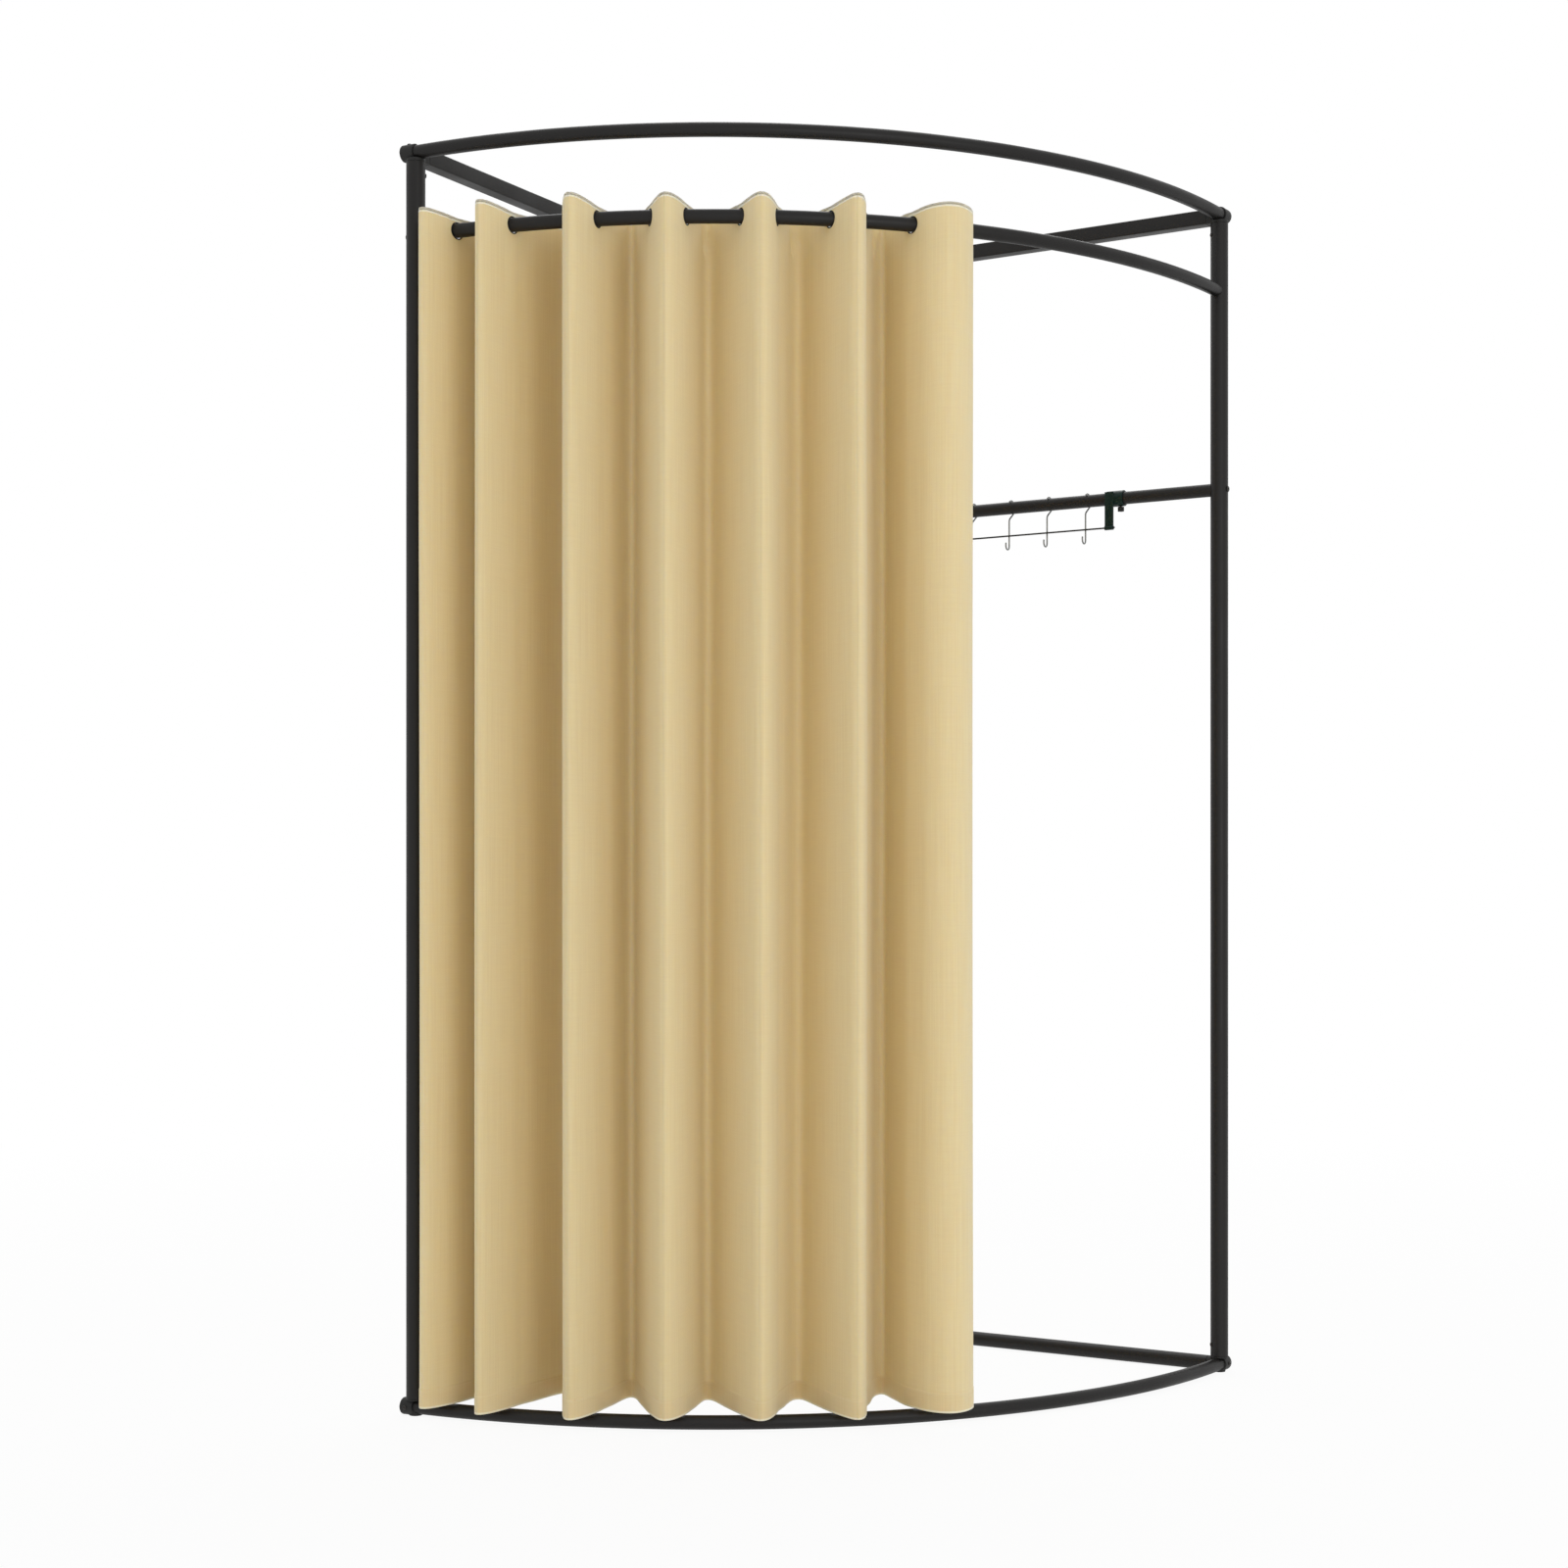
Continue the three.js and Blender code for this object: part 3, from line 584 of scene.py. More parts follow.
def neck(plan, low, high, spigot_way):
    """The round block that the post meets, and its spigot inside the post."""
    low_end, high_end = plan + upward(low), plan + upward(high)
    root = low_end if spigot_way < 0 else high_end
    return [rod_between(low_end, high_end, POST_RADIUS),
            rod_between(root, root + upward(spigot_way * SPIGOT_LENGTH),
                        POST_RADIUS - POST_WALL - FIT_GAP, round_end=SPIGOT_ROUND)]


for level, height in bow_heights:
    top = level == "top"
    for side, plan, end in front_posts:
        outward = along_way(end * post_angle) * end
        middle = plan + upward(height)
        sleeve = rod_between(middle - outward * (SLEEVE_INNER * MM),
                             middle + outward * (SLEEVE_OUTER * MM), SLEEVE_RADIUS,
                             round_end=SLEEVE_ROUND)
        if top:
            post_neck = neck(plan, TOP_NECK, height - BOW_RADIUS, -1)
        else:
            post_neck = neck(plan, height + BOW_RADIUS, BOTTOM_NECK, 1)
            post_neck.append(rod_between(middle, plan, FOOT_RADIUS))
        arm = wall_arm(plan, (back_post - plan).normalized(), top)
        bore = bowed_tube(height, post_angle + (BOW_PAST_POST + BORE_PAST_BOW) / arc_radius,
                          BOW_RADIUS + FIT_GAP, 0)
        moulded(f"{level}_{side}", [sleeve] + post_neck + arm, bore)

    if top:
        crown_top = back_post + upward(TOP_BAR_HEIGHT + TOP_BAR_SIDE / 2)
        core = [rod_between(back_post + upward(TOP_NECK), crown_top, POST_RADIUS,
                            round_end=BACK_CROWN_ROUND)]
        core += neck(back_post, TOP_NECK, TOP_BAR_HEIGHT, -1)[1:]
    else:
        core = neck(back_post, 0, BOTTOM_NECK, 1)
    for post in (left_post, right_post):
        core += wall_arm(back_post, (post - back_post).normalized(), top)
    moulded(f"{level}_back", core)


# The small screws
# Black-oxide steel pan-head tapping screws, one through each end of every bow and one
# through each fitting into its post. They are driven home by a cross-head driver.

SCREW_HEAD_HEIGHT = 1.4
SCREW_DOME = [(0, -SCREW_HEAD_HEIGHT), (1.5, -1.38), (2.6, -1.18), (3.3, -0.8), (3.6, -0.3),
              (3.55, 0)]
SCREW_SHANK = [(1.8, 0), (1.8, 6), (1.1, 6.7), (0, 7)]
CROSS_LENGTH = 3.6
CROSS_WIDTH = 0.8
CROSS_DEPTH = 0.9
SCREW_FROM_NECK = 20
SCREW_FROM_POST = 12


def black_oxide_steel():
    # Hardened steel blackened in a salt bath and oiled: a dark, warm metal with a tight
    # shine that breaks up where the driver has touched it.
    material, tree, shader, place = surface("black_oxide_steel", {
        "Base Color": linear("#3a3938"), "Metallic": 1})
    cloud_over(tree, shader, noise_of(tree, place, 0.7, 3, 0.6), ("#2c2b2a", "#4b4947"),
               (0.26, 0.46))
    return material


oxide_steel = black_oxide_steel()


def steel_mesh(name, profile, sides, recess):
    """A turned screw or bolt with its recess cut, as a mesh to copy."""
    piece = finish_mesh(name, spun(profile, sides=sides), oxide_steel)
    cut_by(piece, recess)
    mesh = piece.data
    bpy.data.objects.remove(piece)
    smooth(mesh, 35)
    return mesh


def driven(mesh, name, node, under_head, way):
    """Places a copy of a screw or bolt, driven the way given, by the underside of its head."""
    mesh = mesh.copy()
    mesh.transform(axis_matrix(under_head, way))
    stand_for(link(bpy.data.objects.new(name, mesh)), "screw_steel", "frame", node)


def cross_recess():
    """A cross-shaped cutter at the head's top, which lies at minus the head's height."""
    far, near = CROSS_LENGTH / 2, CROSS_WIDTH / 2
    arm = [Vector((far, -near)), Vector((far, near)), Vector((near, near))]
    outline = [Matrix.Rotation(turn * math.pi / 2, 2) @ point for turn in range(4)
               for point in arm]
    floor = CROSS_DEPTH - SCREW_HEAD_HEIGHT
    cutter = bmesh.new()
    cutter.faces.new([cutter.verts.new((x * MM, y * MM, floor * MM)) for x, y in outline])
    return drawn_out(cutter, -2 * CROSS_DEPTH * MM)


# Heights run into the hole: the head's underside is at nought and its top at minus its height
screw_mesh = steel_mesh("screw", SCREW_DOME + SCREW_SHANK, 32, cross_recess())


def screw_at(name, seat, way):
    """A screw whose head bears on seat, driven the way given."""
    driven(screw_mesh, f"{name}_pan_head", name, seat - way * (FIT_GAP * MM), way)


for level, height in bow_heights:
    top = level == "top"
    rise = upward(TOP_NECK - SCREW_FROM_NECK if top else BOTTOM_NECK + SCREW_FROM_NECK)
    for side, plan, inward in (("left", left_post, Vector((1, 0, 0))),
                               ("right", right_post, Vector((-1, 0, 0))),
                               ("back", back_post, Vector((0, -1, 0)))):
        screw_at(f"{level}_{side}_post_screw", plan + inward * (POST_RADIUS * MM) + rise, -inward)
    for side, plan, end in front_posts:
        middle = plan + along_way(end * post_angle) * (end * SCREW_FROM_POST * MM)
        came_from = Vector((0, 0, 1)) if top else outward_way(end * post_angle)
        seat = middle + upward(height) + came_from * (SLEEVE_RADIUS * MM)
        screw_at(f"{level}_{side}_bow_screw", seat, -came_from)


# The four bolts and their plugs
# Button-head hexagon-socket bolts through a post into a nylon plug, one at each end of the
# curtain rail and of the hanging bar. The plugs sit inside the tubes, out of sight.

BOLT_HEAD_HEIGHT = 2
BOLT_DOME = [(0, -BOLT_HEAD_HEIGHT), (2.4, -1.97), (3.9, -1.6), (4.9, -0.95), (5.45, -0.3),
             (5.4, 0)]
BOLT_SHANK = [(3, 0), (3, 44.3), (2.2, 45.3), (0, 45.3)]
HEX_ACROSS_CORNERS = 4.6
HEX_DEPTH = 1.5

socket = bmesh.new()
bmesh.ops.create_cone(socket, cap_ends=True, segments=6, radius1=HEX_ACROSS_CORNERS / 2 * MM,
                      radius2=HEX_ACROSS_CORNERS / 2 * MM, depth=2 * HEX_DEPTH * MM)
move(socket, Matrix.Translation(upward(-BOLT_HEAD_HEIGHT)))
bolt_mesh = steel_mesh("bolt", BOLT_DOME + BOLT_SHANK, 40, socket)

for name, plan, way, height in (
        ("left_rail", left_post, along_way(-post_angle), RAIL_HEIGHT),
        ("right_rail", right_post, -along_way(post_angle), RAIL_HEIGHT),
        ("front_hanging_bar", right_post, bar_way, HANGING_BAR_HEIGHT),
        ("rear_hanging_bar", back_post, -bar_way, HANGING_BAR_HEIGHT)):
    under_head = plan - way * ((POST_RADIUS + FIT_GAP) * MM) + upward(height)
    driven(bolt_mesh, f"{name}_button_head", f"{name}_bolt", under_head, way)
    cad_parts[f"{name}_plug"].material_slots[0].material = nylon


# The hook rack
# Two pressed steel brackets, painted dark green, clamp round the hanging bar. A thin
# blackened rod runs through their feet and keeps the wire hooks in line.

RACK_START = 198
RACK_END = 586
RACK_DROP = 52
ROD_RADIUS = 1.5
ROD_TIP_RADIUS = 1.1
ROD_CHAMFER = 0.5
ROD_PAST_PLATE = 2.5
COLLAR_WALL = 2.7
COLLAR_INWARD = 8
COLLAR_OUTWARD = 24
PLATE_WIDTH = 16
PLATE_THICKNESS = 2.7
PLATE_ROUND = 0.5
EYE_RADIUS = 4

rack_matrix = Matrix.Translation(right_post + upward(HANGING_BAR_HEIGHT)) @ Matrix(
    (in_way, bar_way, (0, 0, 1))).transposed().to_4x4()
along_bar = axis_matrix(Vector(), (0, 1, 0))
plate_inward = BOW_RADIUS + FIT_GAP + PLATE_THICKNESS / 2


def rack_point(inward, distance, rise):
    """A point in the rack's own axes: into the room, along the bar from the post, and up."""
    return Vector((inward, distance, rise)) * MM


def green_enamel():
    # Stoving enamel over pressed steel: a deep bottle green, glossier than the frame, a
    # little thin and brighter where the press has turned an edge.
    material, tree, shader, place = surface("bottle_green_stove_enamel", {
        "Base Color": linear("#0c211d"), "IOR": 1.5, "Specular IOR Level": 0.16,
        "Coat Weight": 0.05, "Coat Roughness": 0.2})
    flow = noise_of(tree, place, 9, 3, 0.5)
    cloud_over(tree, shader, flow, ("#091b18", "#102b25"), (0.3, 0.42))
    emboss(tree, shader, flow, 0.25, 0.08)
    return material


def drawn_wire(name, dark, light):
    # Hard-drawn steel wire: dull zinc plating on the hooks, and a blackened rod. A grey
    # shine is drawn out along the wire, with small milky patches in its skin.
    material, tree, shader, place = surface(name, {"Base Color": linear(dark), "Metallic": 1})
    cloud_over(tree, shader, noise_of(tree, place, 4, 4, 0.6), (dark, light), (0.2, 0.38))
    return material


enamel = green_enamel()
zinc_wire = drawn_wire("dull_zinc_wire", "#686967", "#8e8f8c")
black_wire = drawn_wire("blackened_steel_wire", "#2a2a29", "#3c3c3a")


def ease(bm, edges, size):
    """Rounds the edges over by a size in millimetres."""
    bmesh.ops.bevel(bm, geom=edges, offset=size * MM, affect="EDGES", segments=3, profile=0.5,
                    material=-1, offset_type="OFFSET")


def rack_bracket(distance, outward):
    """A clamp collar round the bar, with a plate down to the rod's eye. Outward is 1 or -1."""
    outer = BOW_RADIUS + FIT_GAP + COLLAR_WALL
    ends = sorted((distance - COLLAR_INWARD * outward, distance + COLLAR_OUTWARD * outward))
    collar = spun(tube_profile(outer, COLLAR_WALL, *ends), closed=True, sides=56)
    move(collar, along_bar)

    plate = bmesh.new()
    bmesh.ops.create_cube(plate, size=1)
    top, foot = BOW_RADIUS, -RACK_DROP
    move(plate, Matrix.Translation(rack_point(plate_inward, distance, (top + foot) / 2))
         @ Matrix.Diagonal((PLATE_THICKNESS * MM, PLATE_WIDTH * MM, (top - foot) * MM, 1)))
    ease(plate, plate.edges[:], PLATE_ROUND)

    reach = PLATE_WIDTH / 2
    eye = spun(tube_profile(EYE_RADIUS, EYE_RADIUS - ROD_RADIUS - FIT_GAP, -reach, reach),
               closed=True, sides=32)
    move(eye, Matrix.Translation(rack_point(plate_inward, distance, -RACK_DROP)) @ along_bar)
    return move(joined([collar, plate, eye]), rack_matrix)


for name, distance, outward in (("front", RACK_START, -1), ("rear", RACK_END, 1)):
    bracket = finish_mesh(f"rack_bracket_{name}_pressing", rack_bracket(distance, outward),
                          enamel)
    stand_for(bracket, "bracket_paint", "frame", f"rack_bracket_{name}")

rod_reach = PLATE_WIDTH / 2 + ROD_PAST_PLATE
rod_start, rod_end = RACK_START - rod_reach, RACK_END + rod_reach
rod = spun([(0, rod_start), (ROD_TIP_RADIUS, rod_start), (ROD_RADIUS, rod_start + ROD_CHAMFER),
            (ROD_RADIUS, rod_end - ROD_CHAMFER), (ROD_TIP_RADIUS, rod_end), (0, rod_end)],
           sides=24)
move(rod, rack_matrix @ Matrix.Translation(rack_point(plate_inward, 0, -RACK_DROP)) @ along_bar)
stand_for(finish_mesh("rack_keeper_rod", rod, black_wire), "hook_wire", "frame", "rack_rod")


# The thumb screws of the rack
# A small fluted black nylon knob moulded round a steel screw, under each collar. It turns
# by hand until its tip bears on the bar, and so stops the rack from sliding.

KNOB_OFFSET = 17
KNOB_RADIUS = 5.5
KNOB_HEIGHT = 8
KNOB_ROUND = 0.7
KNOB_GAP = 1
KNOB_FLUTES = 12
KNOB_FLUTE_DEPTH = 0.7
KNOB_FLUTE_SHARPNESS = 1.5
POINTS_PER_FLUTE = 6
KNOB_SHANK_RADIUS = 2
KNOB_SHANK_ROUND = 0.5

knob_top = -(BOW_RADIUS + FIT_GAP + COLLAR_WALL) - KNOB_GAP
for name, distance in (("front", RACK_START - KNOB_OFFSET), ("rear", RACK_END + KNOB_OFFSET)):
    knob = bmesh.new()
    bmesh.ops.create_circle(knob, segments=KNOB_FLUTES * POINTS_PER_FLUTE,
                            radius=KNOB_RADIUS * MM, cap_ends=True)
    for vert in knob.verts:
        flute = math.cos(math.atan2(vert.co.y, vert.co.x) * KNOB_FLUTES)
        dip = max(0, flute) ** KNOB_FLUTE_SHARPNESS * KNOB_FLUTE_DEPTH
        vert.co *= 1 - dip / KNOB_RADIUS
    drawn_out(knob, KNOB_HEIGHT * MM)
    ease(knob, [edge for edge in knob.edges
                if abs(edge.verts[0].co.z - edge.verts[1].co.z) < 1e-7], KNOB_ROUND)
    move(knob, Matrix.Translation(rack_point(0, distance, knob_top - KNOB_HEIGHT)))
    shank = rod_between(rack_point(0, distance, knob_top - KNOB_HEIGHT / 2),
                        rack_point(0, distance, -BOW_RADIUS - FIT_GAP), KNOB_SHANK_RADIUS,
                        sides=24, round_end=KNOB_SHANK_ROUND)
    piece = finish_mesh(f"rack_thumb_screw_{name}_knob", move(joined([knob, shank]), rack_matrix),
                        nylon)
    stand_for(piece, "black_plastic", f"thumb_screw_{name}", f"rack_thumb_screw_{name}")


# The wire hooks
# Five hooks bent from 2.8 mm zinc-plated wire: a crook over the bar, a straight stem behind
# the rod and a curl that takes a hanger. They hang by their own weight and slide by hand.

FIRST_HOOK = 244
HOOK_PITCH = 74
HOOK_COUNT = 5
HOOK_LENGTH = 70
HOOK_BAR_GAP = 0.51
WIRE_RADIUS = 1.4
WIRE_END_ROUND = 0.6
CROOK_START = 50
CROOK_END = 235
CROOK_STEPS = 22
STEM_BEND_RADIUS = 8
STEM_BEND_STEPS = 8
CURL_RADIUS = 7
CURL_STEPS = 16
TIP_RISE = 5


def bent_hook():
    """The wire in the rack's axes at nought along the bar, made as a bender makes it."""
    crook = BOW_RADIUS + WIRE_RADIUS + HOOK_BAR_GAP
    stem = plate_inward - ROD_RADIUS - WIRE_RADIUS - FIT_GAP
    bm = bmesh.new()
    bmesh.ops.create_circle(bm, segments=14, radius=WIRE_RADIUS * MM, cap_ends=True)
    start = math.radians(CROOK_START)
    # The ring faces the way that the crook leaves it, at the crook's start
    move(bm, Matrix.Translation(rack_point(crook * math.cos(start), 0, crook * math.sin(start)))
         @ axis_matrix(Vector(), (-math.sin(start), 0, math.cos(start))))
    end = bm.faces[:]

    def bend(centre, turn, steps):
        made = bmesh.ops.spin(bm, geom=end, cent=centre, axis=(0, -1, 0),
                              angle=math.radians(turn), steps=steps)["geom_last"]
        end[:] = [part for part in made if isinstance(part, bmesh.types.BMFace)]

    def draw(way, length):
        end[:] = bmesh.ops.extrude_discrete_faces(bm, faces=end)["faces"]
        bmesh.ops.translate(bm, vec=way * (length * MM), verts=end[0].verts[:])

    bend(Vector(), CROOK_END - CROOK_START, CROOK_STEPS)
    turn = math.radians(CROOK_END)
    way = Vector((-math.sin(turn), 0, math.cos(turn)))
    leave = Vector((crook * math.cos(turn), 0, crook * math.sin(turn)))
    slope = math.atan2(way.z, way.x) + math.pi / 2
    to_bend = (stem - leave.x) / way.x - STEM_BEND_RADIUS * math.tan(slope / 2)
    draw(way, to_bend)
    corner = leave + way * to_bend
    side = Vector((way.z, 0, -way.x))
    bend((corner + side * STEM_BEND_RADIUS) * MM, -math.degrees(slope), STEM_BEND_STEPS)
    draw(Vector((0, 0, -1)), HOOK_LENGTH + corner.z - STEM_BEND_RADIUS * math.sin(slope))
    bend(rack_point(stem + CURL_RADIUS, 0, -HOOK_LENGTH), 180, CURL_STEPS)
    draw(Vector((0, 0, 1)), TIP_RISE)
    bmesh.ops.remove_doubles(bm, verts=bm.verts, dist=1e-6)
    inner = [face for face in bm.faces if len(face.verts) > 4
             and all(len(edge.link_faces) > 2 for edge in face.edges)]
    bmesh.ops.delete(bm, geom=inner, context="FACES_ONLY")
    bmesh.ops.recalc_face_normals(bm, faces=bm.faces)
    ease(bm, [edge for face in bm.faces if len(face.verts) > 4 for edge in face.edges],
         WIRE_END_ROUND)
    return bm


for i in range(HOOK_COUNT):
    place = Matrix.Translation(rack_point(0, FIRST_HOOK + HOOK_PITCH * i, 0))
    piece = finish_mesh(f"hook_{i + 1}_wire", move(bent_hook(), rack_matrix @ place), zinc_wire)
    stand_for(piece, "hook_wire", f"hook_{i + 1}", f"hook_{i + 1}")


# The curtain
# One width of beige polyester canvas, hemmed all round, that hangs on the rail by fourteen
# eyelets and falls in seven folds. It is built in six lengths that meet on the crests.

CURTAIN_TOP = 1870
CURTAIN_HEM = 26
CLOTH_THICKNESS = 1.1
FIRST_CREST = 49.4
FIRST_PITCH = 94.9
PITCH = 138.4
CRESTS = 7
CREST_HALF = 28
LAST_CREST_HALF = 44
CREST_DEPTH = 62
VALLEY_DEPTH = 112
CREST_WIDTH_SHARES = [0, 0.12, 0.3, 0.5, 0.75, 1, 1.11]
CREST_DEPTH_SHARES = [1, 0.98, 0.9, 0.72, 0.4, 0, -0.3]
CREST_LEFT_DEPTH_SHARES = [1, 0.96, 0.82, 0.6, 0.31, 0, -0.14]
LAST_DEPTH_SHARES = [1, 0.98, 0.92, 0.8, 0.55, 0, -0.3]
VALLEY_WIDTH_SHARES = [0, 0.12, 0.3, 0.5, 0.75]
VALLEY_DEPTH_SHARES = [1, 0.99, 0.92, 0.74, 0.42]
VALLEY_RIGHT_DEPTH_SHARES = [1, 0.97, 0.84, 0.62, 0.35]
FREE_EDGE_SHARES = (1.16, -0.62)
FOLD_SMOOTHING = 10
SWAY = 2.5
SWAY_NOISE = (170, 1.3, 3.7)
BULGE = 0.04
BULGE_NOISE = (120, 1.7, 9.1)
LOOSE_BELOW = 1 / 3
EYELET_RADIUS = 12.4
EYELET_DROP = 1.1
EYELET_SQUARE = 9
EYELET_SPREAD = 21
EYELET_STEP = 1.5
EYELET_SEARCH = 1.5
STEP_GROWTH = 0.35
EDGE_STEP = 0.6
COLUMN_STEP = 4
HEM_STEP = 5
MIDDLE_STEP = 14
DRAG_STEP = 3
WEAVE_PITCH = 1.6
RIM_CORNER = 50
CREST_RISE = 5
VALLEY_RISE = 7
HEM_BAND = 30
SIDE_BAND = 18
# How far up from the hem and down from the top the cloth is painted lighter, as a painted
# highlight of its turned edges
PAINTED_HIGHLIGHT_BAND = 3
STITCH_INSET = 3
STITCH_PITCH = 3.6
STITCH_SHARE = 0.78
STITCH_WIDTH = 0.6
BINDING_INNER = 11.4
BINDING_OUTER = 13.6
BINDING_STRETCH = 1.04
BINDING_THICKNESS = 1.8
BINDING_CORNER = 0.5
BINDING_DROP = 0.3
BINDING_SEAT = 3
BINDING_STITCHES = 170
DRAG_EYELETS = [(7, 1), (9, 1), (11, 1)]
DRAG_OFFSET = 98
DRAG_HALF = 24
DRAG_LENGTH = 66
DRAG_DEPTH = 5
DRAG_SLOPE = 8

# How far to the right each crest lies of its even place, and each valley's bottom of the
# middle between its two crests. The free side of the last crest is wider than its left side.
CREST_SHIFTS = [0, 1.5, 0.5, 0, 0, 0, 0]
FREE_SIDE_WIDENING = 1.32
VALLEY_SHIFTS = [0, 6, -12, -13, 8, 30]

# How deep each fold falls, as shares of the common depths, from left to right
CREST_SHARES = [1.04, 1.1, 1.1, 0.86, 0.88, 1.06, 0.95]
VALLEY_SHARES = [1, 1.1, 1.04, 0.93, 0.9, 0.98]


def crest_half(i):
    return LAST_CREST_HALF if i == CRESTS - 1 else CREST_HALF


def crest_place(i):
    """How far along the rail, from the left post's axis, a crest's middle lies."""
    pitches = 0 if i == 0 else FIRST_PITCH + PITCH * (i - 1)
    return FIRST_CREST + pitches + (crest_half(i) - CREST_HALF) / 2 + CREST_SHIFTS[i]


def half_fold(middle, reach, depth, widths, depths):
    """A fold's points from its middle out to one side. A negative reach goes left."""
    return [(middle + x * reach, y * depth) for x, y in zip(widths, depths)]


def fold_line():
    """The cloth's line in plan, as points of distance along the rail and distance outward.

    The side of a fold that faces left is flatter than the side that faces right.
    """
    points = []
    for i in range(CRESTS):
        last = i == CRESTS - 1
        middle, half, depth = crest_place(i), crest_half(i), CREST_DEPTH * CREST_SHARES[i]
        points += half_fold(middle, -half, depth, CREST_WIDTH_SHARES,
                            LAST_DEPTH_SHARES if last else CREST_LEFT_DEPTH_SHARES)[:0:-1]
        points += half_fold(middle, half * (FREE_SIDE_WIDENING if last else 1), depth,
                            CREST_WIDTH_SHARES, LAST_DEPTH_SHARES if last else CREST_DEPTH_SHARES)
        if last:
            break
        start = points[-1][0]
        end = crest_place(i + 1) - CREST_WIDTH_SHARES[-1] * crest_half(i + 1)
        bottom, depth = (start + end) / 2 + VALLEY_SHIFTS[i], -VALLEY_DEPTH * VALLEY_SHARES[i]
        points += half_fold(bottom, start - bottom, depth, VALLEY_WIDTH_SHARES,
                            VALLEY_DEPTH_SHARES)[:0:-1]
        points += half_fold(bottom, end - bottom, depth, VALLEY_WIDTH_SHARES,
                            VALLEY_RIGHT_DEPTH_SHARES)
    width, depth = FREE_EDGE_SHARES
    first = (crest_place(0) - width * crest_half(0), depth * CREST_DEPTH)
    reach = width * LAST_CREST_HALF * FREE_SIDE_WIDENING
    last = (crest_place(CRESTS - 1) + reach, depth * CREST_DEPTH)
    return [Vector(point) for point in [first] + points + [last]]


def evenly(points, step):
    """The same line in points a step apart."""
    out, carry = [points[0].copy()], 0
    for a, b in zip(points, points[1:]):
        length = (b - a).length
        at = step - carry
        while at <= length:
            out.append(a.lerp(b, at / length))
            at += step
        carry = length - (at - step)
    return out


def smoothed(points, reach):
    """Each point becomes the mean of its neighbours, weighted to fall off over the reach."""
    around = range(-3 * reach, 3 * reach + 1)
    weights = [math.exp(-(k / reach) ** 2) for k in around]
    out = []
    for i in range(len(points)):
        total, mean = 0, Vector((0, 0))
        for k, weight in zip(around, weights):
            if 0 <= i + k < len(points):
                total += weight
                mean += points[i + k] * weight
        out.append(mean / total)
    return out


# A point every millimetre of cloth, so an index along it is also the flat cloth's width
cloth_line = evenly(smoothed(evenly(fold_line(), 1), FOLD_SMOOTHING), 1)
cloth_width = len(cloth_line) - 1

crest_flats, eyelet_flats = [], []
for i in range(CRESTS):
    middle = crest_place(i)
    near = [k for k in range(cloth_width)
            if abs(cloth_line[k].x - middle) < EYELET_SEARCH * crest_half(i)]
    crest_flats.append(next(k for k in near if cloth_line[k].y > 0
                            and cloth_line[k].x <= middle < cloth_line[k + 1].x))
    crossings = [k for k in near if (cloth_line[k].y > 0) != (cloth_line[k + 1].y > 0)]
    eyelet_flats += [k + cloth_line[k].y / (cloth_line[k].y - cloth_line[k + 1].y)
                     for k in (crossings[0], crossings[-1])]
eyelet_height = RAIL_HEIGHT - EYELET_DROP


def line_at(flat):
    flat = min(max(flat, 0), cloth_width - 0.001)
    i = int(flat)
    return cloth_line[i].lerp(cloth_line[i + 1], flat - i)


def eyelet_warp(flat, height):
    """Spreads the grid round an eyelet, so that a square of it becomes the round hole."""
    centre = min(eyelet_flats, key=lambda place: abs(place - flat))
    x, y = flat - centre, height - eyelet_height
    far = max(abs(x), abs(y))
    if far >= EYELET_SPREAD or far < 1e-9:
        return flat, height
    share = (EYELET_SPREAD - far) / (EYELET_SPREAD - EYELET_SQUARE)
    radius = EYELET_RADIUS + far - EYELET_SQUARE
    length = math.hypot(x, y)
    return (flat + share * (x / length * radius - x), height + share * (y / length * radius - y))


def drag_fold(flat, height):
    """How far the cloth is drawn in below the header, in a V that ends some way past an eyelet."""
    dent = 0
    for eyelet, way in DRAG_EYELETS:
        down = (CURTAIN_TOP - height) / DRAG_LENGTH
        across = abs(way * (flat - eyelet_flats[eyelet]) - DRAG_OFFSET)
        dent += DRAG_DEPTH * min(1, max(0, DRAG_HALF * (1 - down) - across) / DRAG_SLOPE)
    return dent


def drift(flat, fall, width, waves, seed):
    """Slow noise, in patches of a width in millimetres and with some waves from top to hem."""
    return noise.noise(Vector((flat / width, fall * waves, seed)))


def cloth_point(flat, height):
    """Where a point of the flat cloth hangs."""
    spot = line_at(flat)
    run = (line_at(flat + 1) - line_at(flat - 1)).normalized()
    fall = (CURTAIN_TOP - height) / (CURTAIN_TOP - CURTAIN_HEM)
    loose = min(1, fall / LOOSE_BELOW)
    dent = drag_fold(flat, height)
    sway = SWAY * drift(flat, fall, *SWAY_NOISE) * loose
    bulge = BULGE * drift(flat, fall, *BULGE_NOISE) * loose
    across = spot.x + run.y * dent + sway
    outward = spot.y * (1 + bulge) - run.x * dent
    crest = CREST_RISE * min(1, max(0, spot.y) / CREST_DEPTH)
    valley = VALLEY_RISE * min(1, max(0, -spot.y) / VALLEY_DEPTH)
    lift = (crest + valley) * (1 - fall) ** 3
    return on_arc(across / arc_radius - post_angle, outward, height + lift)


def steps_between(start, end, widest, near_start, near_end):
    """Places from start to end whose spacing grows from either end to the widest."""
    places, at = [start], start
    while at < end:
        at += min(widest, near_start + (at - start) * STEP_GROWTH,
                  near_end + (end - at) * STEP_GROWTH)
        places.append(at)
    stretch = (end - start) / (places[-1] - start)
    return [start + (place - start) * stretch for place in places]


